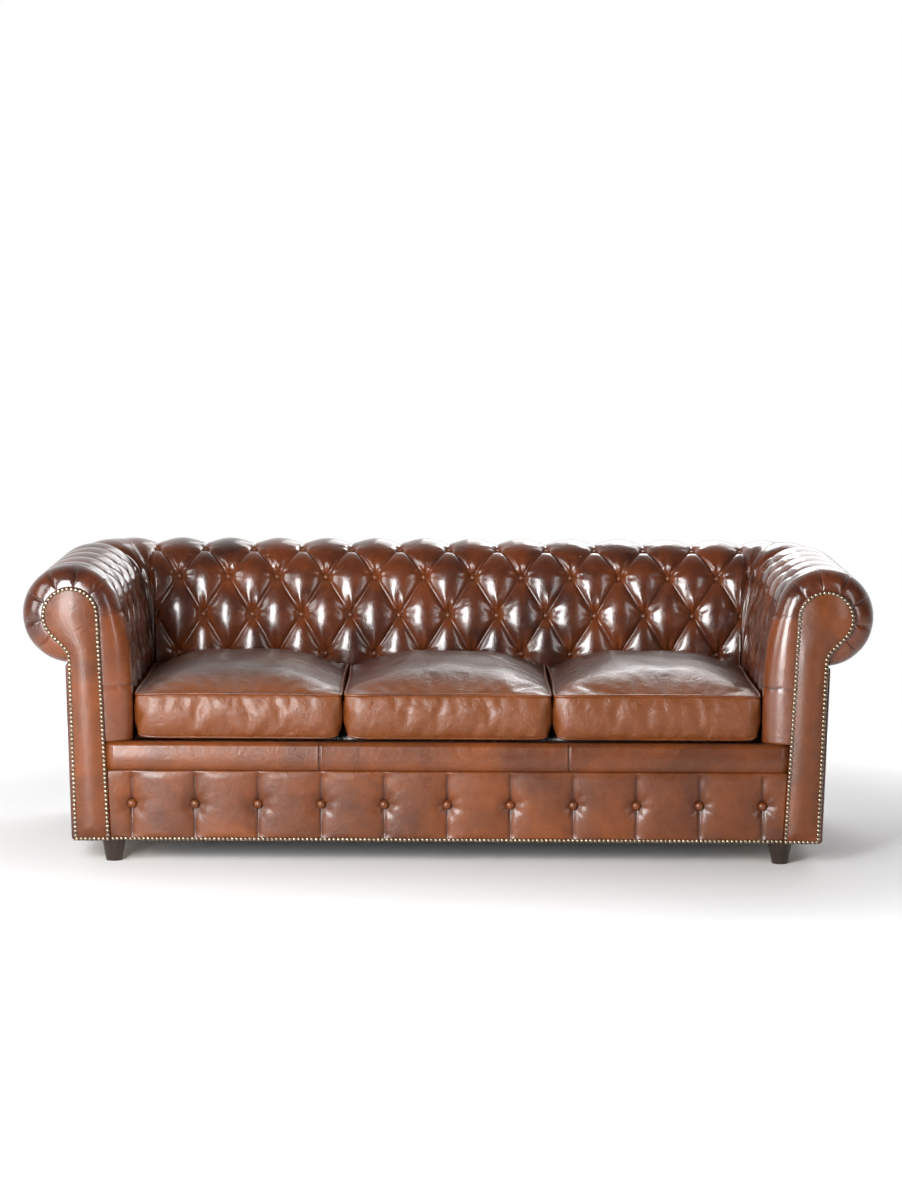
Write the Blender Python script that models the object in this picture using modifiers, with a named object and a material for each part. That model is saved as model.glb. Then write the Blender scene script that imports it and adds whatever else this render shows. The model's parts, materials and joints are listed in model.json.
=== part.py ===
"""Buttoned leather sofa bed: a timber frame, tufted upholstery and a three-fold bed action.

Metres, +Z up. The front faces -Y, and the origin is on the floor under the middle of the sofa.
Rolls are drawn in a section of their own: "out" is the distance outwards from the roll's centre
line, so the same section serves the arms, where out runs along X, and the back, where it runs along Y.
"""
import math

import bmesh
import bpy
from mathutils import Vector

FIT = 0.0003                # gap between pieces that touch

# Sofa outline
SOFA_WIDTH = 2.212          # over the arm rolls
SOFA_DEPTH = 1.00           # front nails to back roll
SOFA_HEIGHT = 0.775         # floor to the top of the rolls
ROLL_RADIUS = 0.128
PAD_DEPTH = 0.157           # roll centre to the padded inner face
FOOT_HEIGHT = 0.058
SEAT_HEIGHT = 0.317         # top of the padded seat border
BORDER_SEAM = 0.243         # seam between the plain and the buttoned border

# Boards, panels and facings of the arms and back
BOARD_THICK = 0.022
BOARD_INSET = 0.048         # roll centre to the inner face of a board
BOARD_DROP = 0.022          # roll centre down to the top of a board
PANEL_PROUD = 0.014         # outer panel beyond the roll centre, at its top
PANEL_TAPER = 0.014         # how far the outer panel leans in towards the floor
ROLL_TURN = 83              # degrees that the roll turns under, below the horizontal
FACING_THICK = 0.008
HEAD_RADIUS = 0.0745        # round head of the keyhole facing
STEM_INNER = 0.102          # roll centre to the facing's inner edge, at the floor end
STEM_OUTER = 0.007          # facing's outer edge beyond the roll centre, under the head
NECK = ((0.35, 0.80), (0.08, 1.08), (0.0, 1.45))    # out from the stem and down, in head radii
NOSE_DEPTH = 0.050          # length of the rounded front end of an arm pad
CORNER_FILLET = 0.006       # radius of the padded face in the inside corner of arm and back
CORNER_LOW = 0.087          # how far below its centre the roll starts to square off at a corner
CORNER_SQUARE = 0.5         # how square the roll's lowest edge gets there, where 1 is a sharp mitre
NAIL_BAND = 0.007
NAIL_EDGE = 0.001           # nail band in from the edge of its panel
NAIL_PROUD = 0.003

# Tufting
BUTTON_PITCH = 0.1368       # between buttons of one row
ROW_PITCH = 0.112           # between rows, along the padded surface
FIRST_ROW = 0.146           # lowest row above the bottom of the pad, along the surface
BUTTON_ROWS = 4
FOLD_DEPTH = 0.014
BUTTON_DEPTH = 0.016
BUTTON_SPREAD = 0.14        # reach of a button's hollow, in pitches
PAD_END_FADE = 0.06         # length over which tufts fade out at the edges of a pad

# Front borders
BORDER_SETBACK = 0.005
BORDER_THICK = 0.025
BORDER_BUTTONS = 11
BORDER_END = 0.0550         # end buttons in from the facings
BORDER_TUFT = 0.010
BORDER_HOLLOW = (0.16, 0.14)    # reach of a button's hollow, in pitches and in panel heights
BORDER_EDGE = 0.15          # share of the panel's height over which the tufts fade out

# Timber base
RAIL_THICK = 0.024
SIDE_RAIL_THICK = 0.040
SIDE_RAIL_TOP = 0.250
BACK_RAIL_TOP = 0.160
BLOCK_LENGTH = 0.090
BLOCK_HEIGHT = 0.070
FOOT_TOP_RADIUS = 0.032
FOOT_FLOOR_RADIUS = 0.021
FOOT_INSET = 0.020          # foot centre in from the outer face of the front or back rail
FOOT_END = 0.059            # foot centre in from the end of that rail
STOP_RAIL_WIDTH = 0.050
STOP_RAIL_HEIGHT = 0.0255   # cross rails that the folded bed rests on
STOP_RAIL_OFFSET = 0.060    # cross rail behind the lift pin that it clears
DUST_COVER_THICK = 0.0015

# Seat cushions
CUSHION_COUNT = 3
CUSHION_GAP = 0.003
CUSHION_SETBACK = 0.030     # cushion front behind the seat border's front
CUSHION_BAND = 0.110
CUSHION_CROWN = 0.074
CUSHION_PULL = 0.008        # how far the sides draw in between corners

# Bed action
BED_INSET = 0.073           # bed frame in from the padded faces of the arms
TUBE_HEIGHT = 0.020         # section frames
TUBE_WIDTH = 0.012
DECK_THICK = 0.004
MATTRESS_INSET = 0.048      # mattress edge in from the side of the frame
LEG_SPACE = 0.022           # between the folded middle and foot frames
HEAD_LENGTH = 0.575         # first hinge to the head end
FOLD_LENGTH = 0.630         # first hinge to second hinge
FOOT_LENGTH = 0.618         # second hinge to the foot end
HINGE_CLEARANCE = 0.0165    # front rail to the first hinge
FRAME_SETBACK = 0.040       # frame ends back from the first hinge
HINGE_END_GAP = 0.001
LUG_THICK = 0.006
LUG_RADIUS = 0.007
LUG_INSET = 0.024           # side of the frame to the inner face of the inner lugs
WELD_SHARE = 0.75           # share of a tube that a lug is let into
PIN_RADIUS = 0.004
LEG_TUBE_RADIUS = 0.009     # cross tube of a leg pair
LEG_RADIUS = 0.008
LEG_LUG_CLEARANCE = 0.0015  # leg lug to the section it folds against
LEG_LUG_INSET = 0.075       # side of the frame to the leg lugs
MIDDLE_LEG_INSET = 0.030    # leg centre in from its lug
FOOT_LEG_INSET = 0.065
LEG_FLOOR_GAP = 0.003
LIFT_ARM_LENGTH = 0.126
LIFT_START = -65            # degrees, arm direction at rest, measured from +Y towards +Z
LIFT_SWING = 160
LIFT_BAR_WIDTH = 0.022
LIFT_BAR_THICK = 0.008
LIFT_PIN_RADIUS = 0.005
LIFT_PIN_DEPTH = 0.0096     # pin's reach into the side tube of the head section
FRONT_PIN = 0.150           # first hinge to the front lift pins
REAR_PIN = 0.440
PLATE_THICK = 0.006
PLATE_MARGIN = 0.040        # mechanism plate beyond its pivots

# Places that follow from the sizes above
ROLL_X = SOFA_WIDTH / 2 - ROLL_RADIUS
ROLL_Y = SOFA_DEPTH / 2 - ROLL_RADIUS
ROLL_Z = SOFA_HEIGHT - ROLL_RADIUS
BASE_Z = FOOT_HEIGHT + FIT
INNER_X = ROLL_X - PAD_DEPTH
INNER_Y = ROLL_Y - PAD_DEPTH
CORNER_TURN = PAD_DEPTH + CORNER_FILLET     # roll centre to the point that a corner turns about
BOARD_OUT = -BOARD_INSET
PANEL_OUT = BOARD_OUT + BOARD_THICK + FIT
PANEL_TOP = ROLL_Z - ROLL_RADIUS * math.sin(math.radians(ROLL_TURN))
PAD_BOTTOM = SEAT_HEIGHT + FIT
FACING_FRONT = -SOFA_DEPTH / 2 + NAIL_PROUD + FIT
ARM_FRONT = FACING_FRONT + FACING_THICK + FIT
BORDER_FRONT = FACING_FRONT + BORDER_SETBACK
RAIL_FRONT = BORDER_FRONT + BORDER_THICK + FIT
WELL_FRONT = RAIL_FRONT + RAIL_THICK
BORDER_HALF = ROLL_X - STEM_INNER - FIT
BORDER_PITCH = 2 * (BORDER_HALF - BORDER_END) / (BORDER_BUTTONS - 1)
BED_HALF = INNER_X - BED_INSET
LEG_LUG_X = BED_HALF - LEG_LUG_INSET
LIFT_X = BED_HALF + FIT
PLATE_X = LIFT_X + LIFT_BAR_THICK + FIT
SIDE_RAIL_X = PLATE_X + PLATE_THICK + FIT
BLOCK_X = SIDE_RAIL_X + SIDE_RAIL_THICK + FIT
BOARD_X = ROLL_X + BOARD_OUT
BACK_BOARD_Y = ROLL_Y + BOARD_OUT
BACK_RAIL_Y = BACK_BOARD_Y - FIT - RAIL_THICK

# Folded bed: the mattress panels fill what the frames and legs leave of the well's height
HEAD_FRAME_Z = BASE_Z + STOP_RAIL_HEIGHT + FIT
FOOT_TOP = SEAT_HEIGHT + FIT
MATTRESS_THICK = (FOOT_TOP - HEAD_FRAME_Z - 3 * TUBE_HEIGHT - LEG_SPACE - 4 * FIT) / 3
FOOT_FRAME_Z = FOOT_TOP - MATTRESS_THICK - FIT - TUBE_HEIGHT
FOLD2_Z = FOOT_FRAME_Z - LEG_SPACE / 2
MIDDLE_FRAME_Z = FOOT_FRAME_Z - LEG_SPACE - TUBE_HEIGHT
FOLD1_Z = MIDDLE_FRAME_Z - FIT - MATTRESS_THICK - FIT / 2
FOLD1_Y = WELL_FRONT + HINGE_CLEARANCE
FOLD2_Y = FOLD1_Y + FOLD_LENGTH
FOOT_FRONT = FOLD2_Y - FOOT_LENGTH
LIFT_PIN_Z = HEAD_FRAME_Z + TUBE_HEIGHT / 2
LIFT_DY = LIFT_ARM_LENGTH * math.cos(math.radians(LIFT_START))
LIFT_DZ = LIFT_ARM_LENGTH * math.sin(math.radians(LIFT_START))
LIFT_PIVOT_Z = LIFT_PIN_Z - LIFT_DZ
LIFT_RISE = LIFT_ARM_LENGTH * math.sin(math.radians(LIFT_START + LIFT_SWING)) - LIFT_DZ
LUG_INNER_X = BED_HALF - LUG_INSET
LUG_OUTER_X = LUG_INNER_X + LUG_THICK + FIT
OPEN_LEG_Z = HEAD_FRAME_Z + LIFT_RISE - LEG_SPACE / 2
LEG_LENGTH = OPEN_LEG_Z - LEG_FLOOR_GAP

for old in list(bpy.data.objects):
    bpy.data.objects.remove(old)

PARTS = bpy.data.collections.new("leather_sofa_bed")
CUTTERS = bpy.data.collections.new("cutters")
bpy.context.scene.collection.children.link(PARTS)
bpy.context.scene.collection.children.link(CUTTERS)


# Finishes: base colour, roughness and metallic value
FINISHES = {
    "tan_leather": ((0.27, 0.075, 0.025), 0.32, 0.0),
    "dark_leather": ((0.12, 0.032, 0.014), 0.28, 0.0),
    "seat_leather": ((0.19, 0.062, 0.030), 0.34, 0.0),
    "timber": ((0.48, 0.31, 0.17), 0.65, 0.0),
    "stained_wood": ((0.060, 0.026, 0.014), 0.40, 0.0),
    "antique_brass": ((0.45, 0.30, 0.13), 0.35, 1.0),
    "black_steel": ((0.035, 0.035, 0.038), 0.45, 0.8),
    "deck_cloth": ((0.06, 0.06, 0.065), 0.85, 0.0),
    "ticking": ((0.78, 0.75, 0.68), 0.85, 0.0),
}


def finish(obj, name):
    """Give a piece a material of its own with one of the finishes."""
    colour, roughness, metallic = FINISHES[name]
    material = bpy.data.materials.new(f"{obj.name}_{name}")
    material.use_nodes = True
    shader = material.node_tree.nodes["Principled BSDF"]
    shader.inputs["Base Color"].default_value = (*colour, 1.0)
    shader.inputs["Roughness"].default_value = roughness
    shader.inputs["Metallic"].default_value = metallic
    obj.data.materials.append(material)


def mesh_object(name, bm, look, at=(0, 0, 0), smooth=False):
    """Turn a bmesh that is drawn about the point at into a piece placed there."""
    bmesh.ops.recalc_face_normals(bm, faces=bm.faces)
    mesh = bpy.data.meshes.new(name)
    bm.to_mesh(mesh)
    bm.free()
    if smooth:
        mesh.shade_smooth()
        mesh.set_sharp_from_angle(angle=math.radians(50))
    obj = bpy.data.objects.new(name, mesh)
    obj.location = at
    PARTS.objects.link(obj)
    finish(obj, look)
    return obj


def box_mesh(bm, low, high):
    """Add a box between two corners to a bmesh."""
    low, high = Vector(low), Vector(high)
    made = bmesh.ops.create_cube(bm, size=1.0)["verts"]
    bmesh.ops.scale(bm, vec=high - low, verts=made)
    bmesh.ops.translate(bm, vec=(low + high) / 2, verts=made)
    return made


def box(name, low, high, look, bevel=0.0):
    """A plain block between two corners, with its origin at its middle."""
    middle = (Vector(low) + Vector(high)) / 2
    bm = bmesh.new()
    box_mesh(bm, Vector(low) - middle, Vector(high) - middle)
    obj = mesh_object(name, bm, look, middle)
    if bevel:
        rounding = obj.modifiers.new("rounded edges", "BEVEL")
        rounding.width = bevel
        rounding.segments = 3
    return obj


def rod_mesh(bm, start, end, radius, sides=20):
    """Add a round rod between two points to a bmesh."""
    start, end = Vector(start), Vector(end)
    turn = (end - start).to_track_quat("Z", "Y").to_matrix().to_4x4()
    turn.translation = (start + end) / 2
    bmesh.ops.create_cone(bm, cap_ends=True, segments=sides, radius1=radius, radius2=radius,
                          depth=(end - start).length, matrix=turn)


def combine(obj, bm, operation):
    """Cut the shapes of a bmesh, drawn in world space, out of a piece, or join them to it."""
    mesh = bpy.data.meshes.new(f"{obj.name}_{operation.lower()}")
    bm.to_mesh(mesh)
    bm.free()
    tool = bpy.data.objects.new(mesh.name, mesh)
    tool.hide_render = True
    tool.display_type = "WIRE"
    CUTTERS.objects.link(tool)
    change = obj.modifiers.new(operation.lower(), "BOOLEAN")
    change.operation = operation
    change.object = tool


def flat_outline(name, points, thickness, look, place, turn):
    """A flat piece from a closed outline in its own XY plane, centred on its thickness."""
    curve = bpy.data.curves.new(name, "CURVE")
    curve.dimensions = "2D"
    curve.fill_mode = "BOTH"
    curve.extrude = thickness / 2
    spline = curve.splines.new("POLY")
    spline.points.add(len(points) - 1)
    for point, (across, up) in zip(spline.points, points):
        point.co = (across, up, 0, 1)
    spline.use_cyclic_u = True
    obj = bpy.data.objects.new(name, curve)
    obj.location = place
    obj.rotation_euler = turn
    PARTS.objects.link(obj)
    finish(obj, look)
    return obj


UPRIGHT = (math.radians(90), 0, 0)                  # outline stands across the sofa
SIDEWAYS = (math.radians(90), 0, math.radians(90))  # outline stands along the sofa's depth


def arc(centre, radius, start, end, steps):
    """Points on an arc, in degrees from the first axis towards the second."""
    turns = [math.radians(start + (end - start) * step / steps) for step in range(steps + 1)]
    return [(centre[0] + radius * math.cos(a), centre[1] + radius * math.sin(a)) for a in turns]


# Roll section: up the padded face, over the roll and round under it

FACE_JOIN = 160             # degrees, where the padded face runs into the roll


def section_curve():
    """Fine points (out, z) along the upholstered surface of a roll."""
    centre = (0.0, ROLL_Z)
    join = math.radians(FACE_JOIN)
    end = Vector((ROLL_RADIUS * math.cos(join), ROLL_Z + ROLL_RADIUS * math.sin(join)))
    start = Vector((-PAD_DEPTH, PAD_BOTTOM))
    reach = (end - start).length / 3
    first = start + Vector((0, reach))
    second = end - reach * Vector((math.sin(join), -math.cos(join)))
    face = []
    for step in range(60):
        t = step / 60
        face.append(((1 - t) ** 3 * start + 3 * t * (1 - t) ** 2 * first
                     + 3 * t * t * (1 - t) * second + t ** 3 * end))
    return face + [Vector(p) for p in arc(centre, ROLL_RADIUS, FACE_JOIN, -ROLL_TURN, 90)]


CURVE = section_curve()
LENGTHS = [0.0]
for here, there in zip(CURVE, CURVE[1:]):
    LENGTHS.append(LENGTHS[-1] + (there - here).length)
SURFACE_LENGTH = LENGTHS[-1]


def on_section(distance):
    """Point and outward normal at a distance along the section."""
    index = 1
    while index < len(LENGTHS) - 1 and LENGTHS[index] < distance:
        index += 1
    before, after = CURVE[index - 1], CURVE[index]
    share = (distance - LENGTHS[index - 1]) / (LENGTHS[index] - LENGTHS[index - 1])
    along = (after - before).normalized()
    return before.lerp(after, share), Vector((-along.y, along.x))


def ease(value):
    """Smooth step from 0 to 1."""
    value = min(max(value, 0.0), 1.0)
    return value * value * (3 - 2 * value)


def tuft_depth(across, distance):
    """How far the leather is drawn in at a place across the pad and along its section.

    Buttons stand on a lattice of diamonds. Past the first and last rows the folds run straight on.
    """
    row = (distance - FIRST_ROW) / ROW_PITCH
    half_pitches = across / (BUTTON_PITCH / 2)
    row_in_lattice = min(max(row, 0), BUTTON_ROWS - 1)
    one = (half_pitches + row_in_lattice) / 2
    other = (half_pitches - row_in_lattice) / 2
    puff = math.sqrt(abs(math.sin(math.pi * one) * math.sin(math.pi * other)))
    near = (one - round(one)) ** 2 + (other - round(other)) ** 2 + (row - row_in_lattice) ** 2
    depth = FOLD_DEPTH * (1 - puff) + BUTTON_DEPTH * math.exp(-near / BUTTON_SPREAD ** 2)
    edge = min(distance, SURFACE_LENGTH - distance)
    return depth * ease(edge / PAD_END_FADE)


ROLL_STEPS = 8


def section_stations():
    """Distances along the section: two to each button row, then evenly over the rest."""
    last_row = FIRST_ROW + (BUTTON_ROWS - 1) * ROW_PITCH
    stations = [0.0, FIRST_ROW / 2]
    stations += [FIRST_ROW + step * ROW_PITCH / 2 for step in range(2 * BUTTON_ROWS - 1)]
    remaining = SURFACE_LENGTH - last_row
    stations += [last_row + remaining * (step + 1) / ROLL_STEPS for step in range(ROLL_STEPS)]
    return stations


def facing_edge(out, z):
    """Where the pad's surface meets the facing at the front of an arm."""
    radius = HEAD_RADIUS + FIT
    if out < 0 and z < ROLL_Z:
        return Vector((-radius, z))
    return Vector((0, ROLL_Z)) + radius * (Vector((out, z)) - Vector((0, ROLL_Z))).normalized()


def board_slot():
    """Section corners of the slot, open below, that a timber board stands in."""
    top = ROLL_Z - BOARD_DROP + FIT
    inner = BOARD_OUT - FIT
    outer = BOARD_OUT + BOARD_THICK + FIT
    return [Vector((outer, PANEL_TOP + FIT)), Vector((outer, top)), Vector((inner, top)),
            Vector((inner, PAD_BOTTOM))]


def pad_ring(along_at, lattice_at, tuft, front=0.0):
    """One ring of a pad: (out, along, z) round its section, drawn in at the tufts."""
    ring = []
    for distance in section_stations():
        point, normal = on_section(distance)
        depth = tuft * tuft_depth(lattice_at(along_at(point.x)), distance)
        point = point.lerp(facing_edge(*point), front) - normal * depth
        ring.append((point.x, along_at(point.x), point.y))
    return ring + [(corner.x, along_at(corner.x), corner.y) for corner in board_slot()]


def loft(name, rings, place, look):
    """Skin a row of closed rings and close both ends."""
    bm = bmesh.new()
    rows = [[bm.verts.new(place(*point)) for point in ring] for ring in rings]
    for row, following in zip(rows, rows[1:]):
        for index in range(len(row)):
            turn = (index + 1) % len(row)
            bm.faces.new((row[index], row[turn], following[turn], following[index]))
    bm.faces.new(rows[0])
    bm.faces.new(rows[-1])
    bm.normal_update()
    bmesh.ops.triangulate(bm, faces=bm.faces)
    return mesh_object(name, bm, look, smooth=True)


CORNER_STEPS = 4


def corner_ring(corner, step, lattice_at, sign=1):
    """A ring of the rounded corner of arm and back, turned towards the mitre.

    It turns about a point just off the inside corner. The slot stays straight, because the boards
    are, and so in part does the low edge of the roll, which has to reach over the panels.
    """
    share = step / CORNER_STEPS
    turn = math.radians(45) * share
    start = corner - CORNER_TURN
    ring = []
    square = pad_ring(lambda out: sign * (start + CORNER_TURN * turn), lattice_at, 1 - share)
    slot = len(square) - len(board_slot())
    for index, (out, _, z) in enumerate(square):
        straight = 1.0 if index >= slot else 0.0
        if index < slot and out > 0:
            straight = CORNER_SQUARE * ease((ROLL_Z - CORNER_LOW - z) / (ROLL_Z - CORNER_LOW - PANEL_TOP))
            z = max(z, PANEL_TOP + FIT)
        reach = (CORNER_TURN + out) * (1 + straight * (1 / math.cos(turn) - 1))
        along = start + reach * math.sin(turn) - FIT * share
        ring.append((reach * math.cos(turn) - CORNER_TURN, sign * along, z))
    return ring


def straight_rings(low, high, lattice_at, first):
    """Rings at every quarter of the button pitch between two places."""
    step = BUTTON_PITCH / 4
    index = math.ceil((low - first) / step)
    rings = []
    while first + index * step < high:
        place = first + index * step
        rings.append((place, pad_ring(lambda out, at=place: at, lattice_at, 1.0)))
        index += 1
    return rings


def arm_pad(name, side):
    """A buttoned arm: rounded nose at the facing, straight run, rounded corner at the back."""
    nose_end = ARM_FRONT + NOSE_DEPTH
    first = nose_end + BUTTON_PITCH / 2

    def lattice_at(along):
        return along - first

    rings = []
    steps = 4
    for step in range(steps):
        angle = math.radians(90 * step / steps)
        place = ARM_FRONT + NOSE_DEPTH * (1 - math.cos(angle))
        rings.append(pad_ring(lambda out, at=place: at, lattice_at, 0.0, 1 - math.sin(angle)))
    straight = straight_rings(nose_end, ROLL_Y - CORNER_TURN - BUTTON_PITCH / 8, lattice_at, first)
    rings += [ring for place, ring in straight]
    rings += [corner_ring(ROLL_Y, step, lattice_at) for step in range(CORNER_STEPS + 1)]
    return loft(name, rings, lambda out, along, z: (side * (ROLL_X + out), along, z), "dark_leather")


def back_pad():
    """The buttoned back, which turns into the arms at both ends."""
    def lattice_at(along):
        return along - BUTTON_PITCH / 2

    reach = ROLL_X - CORNER_TURN - BUTTON_PITCH / 8
    straight = straight_rings(-reach, reach, lattice_at, 0.0)
    rings = [corner_ring(ROLL_X, step, lattice_at, -1) for step in range(CORNER_STEPS, -1, -1)]
    rings += [ring for place, ring in straight]
    rings += [corner_ring(ROLL_X, step, lattice_at) for step in range(CORNER_STEPS + 1)]
    return loft("back_pad", rings, lambda out, along, z: (along, ROLL_Y + out, z), "dark_leather")


# Arm boards, facings, panels and nails

def keyhole(inset):
    """Facing outline (out, z): round head over a stem that narrows to the floor end."""
    radius = HEAD_RADIUS - inset
    stem = STEM_OUTER - inset
    foot = BASE_Z + inset
    head = arc((0.0, ROLL_Z), radius, 180, -25, 20)
    neck = [(stem + out * radius, ROLL_Z - down * radius) for out, down in NECK]
    return [(-STEM_INNER + inset, foot)] + head + neck + [(stem - PANEL_TAPER, foot)]


def upright_piece(name, outline, side, front, thickness, look):
    """An outline in the roll's section, standing across the front of an arm."""
    points = [(side * (ROLL_X + out), z) for out, z in outline]
    return flat_outline(name, points, thickness, look, (0, front + thickness / 2, 0), UPRIGHT)


def outer_panel(name, low, high, *leans):
    """A covered board whose outer faces lean in towards the floor, each along one of the directions."""
    bm = bmesh.new()
    low, high = Vector(low), Vector(high)
    middle = (low + high) / 2
    box_mesh(bm, low - middle, high - middle)
    lower = [v for v in bm.verts if v.co.z < 0]
    for lean in leans:
        outer = [v for v in lower if v.co.dot(Vector(lean)) < 0]
        bmesh.ops.translate(bm, vec=Vector(lean) * PANEL_TAPER, verts=outer)
    return mesh_object(name, bm, "dark_leather", middle)


def arm(side, label):
    """Everything of one arm; side is -1 on the left and 1 on the right."""
    arm_pad(f"{label}_arm_pad", side)
    board_end = BACK_BOARD_Y - FIT
    x = sorted((side * BOARD_X, side * (BOARD_X + BOARD_THICK)))
    box(f"{label}_arm_board", (x[0], ARM_FRONT, BASE_Z), (x[1], board_end, ROLL_Z - BOARD_DROP), "timber")
    x = sorted((side * (ROLL_X + PANEL_OUT), side * (ROLL_X + PANEL_PROUD)))
    outer_panel(f"{label}_outer_panel", (x[0], ARM_FRONT, BASE_Z),
                (x[1], ROLL_Y + PANEL_OUT - FIT, PANEL_TOP), (-side, 0, 0))
    upright_piece(f"{label}_facing", keyhole(0.0), side, FACING_FRONT, FACING_THICK, "tan_leather")
    band = keyhole(NAIL_EDGE) + keyhole(NAIL_EDGE + NAIL_BAND)[::-1]
    upright_piece(f"{label}_nail_strip", band, side, FACING_FRONT - FIT - NAIL_PROUD, NAIL_PROUD,
                  "antique_brass")


def back():
    """Board, pad and outer panel of the back."""
    back_pad()
    board_reach = BOARD_X + BOARD_THICK
    box("back_board", (-board_reach, BACK_BOARD_Y, BASE_Z),
        (board_reach, BACK_BOARD_Y + BOARD_THICK, ROLL_Z - BOARD_DROP), "timber")
    panel_reach = ROLL_X + PANEL_PROUD
    outer_panel("back_outer_panel", (-panel_reach, ROLL_Y + PANEL_OUT, BASE_Z),
                (panel_reach, ROLL_Y + PANEL_PROUD, PANEL_TOP), (0, -1, 0), (1, 0, 0), (-1, 0, 0))


# Front borders

def border_tuft(x, height_share):
    """Depth of the buttoned border: a button at mid height and a pleat above and below it."""
    pitches = x / BORDER_PITCH + (BORDER_BUTTONS - 1) / 2
    nearest = min(max(round(pitches), 0), BORDER_BUTTONS - 1)
    aside = abs(pitches - nearest)
    pleat = max(0.0, 1 - 2 * aside) ** 2
    button = math.exp(-(aside / BORDER_HOLLOW[0]) ** 2 - ((height_share - 0.5) / BORDER_HOLLOW[1]) ** 2)
    edge = ease(min(height_share, 1 - height_share) / BORDER_EDGE)
    return BORDER_TUFT * edge * (0.5 * pleat + 0.5 * button)


def buttoned_border():
    """Padded panel with a row of buttons, flat at its back."""
    columns = sorted({-BORDER_HALF, BORDER_HALF} | {
        BORDER_PITCH * (step / 4 - (BORDER_BUTTONS - 1) / 2) for step in range(-1, 4 * BORDER_BUTTONS - 2)})
    top = BORDER_SEAM - FIT
    shares = [0, BORDER_EDGE, 0.35, 0.5, 0.65, 1 - BORDER_EDGE, 1]
    bm = bmesh.new()
    grid = [[bm.verts.new((x, BORDER_FRONT + border_tuft(x, share), BASE_Z + (top - BASE_Z) * share))
             for share in shares] for x in columns]
    for one, other in zip(grid, grid[1:]):
        for row in range(len(shares) - 1):
            bm.faces.new((one[row], one[row + 1], other[row + 1], other[row]))
    rim = grid[0][:] + [column[-1] for column in grid[1:]] + grid[-1][-2::-1]
    rim += [column[0] for column in grid[-2:0:-1]]
    wall = [bm.verts.new((v.co.x, BORDER_FRONT + BORDER_THICK, v.co.z)) for v in rim]
    for index in range(len(rim)):
        turn = (index + 1) % len(rim)
        bm.faces.new((rim[index], rim[turn], wall[turn], wall[index]))
    bm.faces.new(wall)
    bm.normal_update()
    bmesh.ops.triangulate(bm, faces=bm.faces)
    return mesh_object("front_border", bm, "tan_leather", smooth=True)


def borders():
    """Plain and buttoned borders and the nail strip along the bottom."""
    box("seat_border", (-BORDER_HALF, BORDER_FRONT, BORDER_SEAM),
        (BORDER_HALF, BORDER_FRONT + BORDER_THICK, SEAT_HEIGHT), "tan_leather", bevel=0.008)
    buttoned_border()
    low = BASE_Z + NAIL_EDGE
    box("front_nail_strip", (-BORDER_HALF, BORDER_FRONT - FIT - NAIL_PROUD, low),
        (BORDER_HALF, BORDER_FRONT - FIT, low + NAIL_BAND), "antique_brass")


# Timber base

def foot(name, x, y):
    """A turned foot that tapers to the floor."""
    bm = bmesh.new()
    bmesh.ops.create_cone(bm, cap_ends=True, segments=24, radius1=FOOT_FLOOR_RADIUS,
                          radius2=FOOT_TOP_RADIUS, depth=FOOT_HEIGHT)
    return mesh_object(name, bm, "stained_wood", (x, y, FOOT_HEIGHT / 2), smooth=True)


def base():
    """Rails, corner blocks, feet, cross rails and dust cover."""
    rail_reach = BOARD_X - FIT
    box("front_rail", (-rail_reach, RAIL_FRONT, BASE_Z),
        (rail_reach, WELL_FRONT, SEAT_HEIGHT - FIT), "timber")
    box("back_rail", (-rail_reach, BACK_RAIL_Y, BASE_Z),
        (rail_reach, BACK_RAIL_Y + RAIL_THICK, BACK_RAIL_TOP), "timber")
    side_front, side_back = WELL_FRONT + FIT, BACK_RAIL_Y - FIT
    for side, label in ((-1, "left"), (1, "right")):
        x = sorted((side * SIDE_RAIL_X, side * (SIDE_RAIL_X + SIDE_RAIL_THICK)))
        box(f"{label}_side_rail", (x[0], side_front, BASE_Z), (x[1], side_back, SIDE_RAIL_TOP), "timber")
        x = sorted((side * BLOCK_X, side * rail_reach))
        for end, start in (("front", side_front), ("rear", side_back - BLOCK_LENGTH)):
            box(f"{label}_{end}_corner_block", (x[0], start, BASE_Z),
                (x[1], start + BLOCK_LENGTH, BASE_Z + BLOCK_HEIGHT), "timber")
        foot_x = side * (rail_reach - FOOT_END)
        foot(f"{label}_front_foot", foot_x, RAIL_FRONT + FOOT_INSET)
        foot(f"{label}_rear_foot", foot_x, BACK_RAIL_Y + RAIL_THICK - FOOT_INSET)
    stop_reach = SIDE_RAIL_X - FIT
    for label, pin in (("front", FRONT_PIN), ("rear", REAR_PIN)):
        centre = FOLD1_Y + pin + STOP_RAIL_OFFSET
        box(f"{label}_cross_rail", (-stop_reach, centre - STOP_RAIL_WIDTH / 2, BASE_Z),
            (stop_reach, centre + STOP_RAIL_WIDTH / 2, BASE_Z + STOP_RAIL_HEIGHT), "timber")
    box("dust_cover", (-stop_reach, WELL_FRONT, BASE_Z - FIT - DUST_COVER_THICK),
        (stop_reach, BACK_RAIL_Y, BASE_Z - FIT), "deck_cloth")


# Seat cushions

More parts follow.
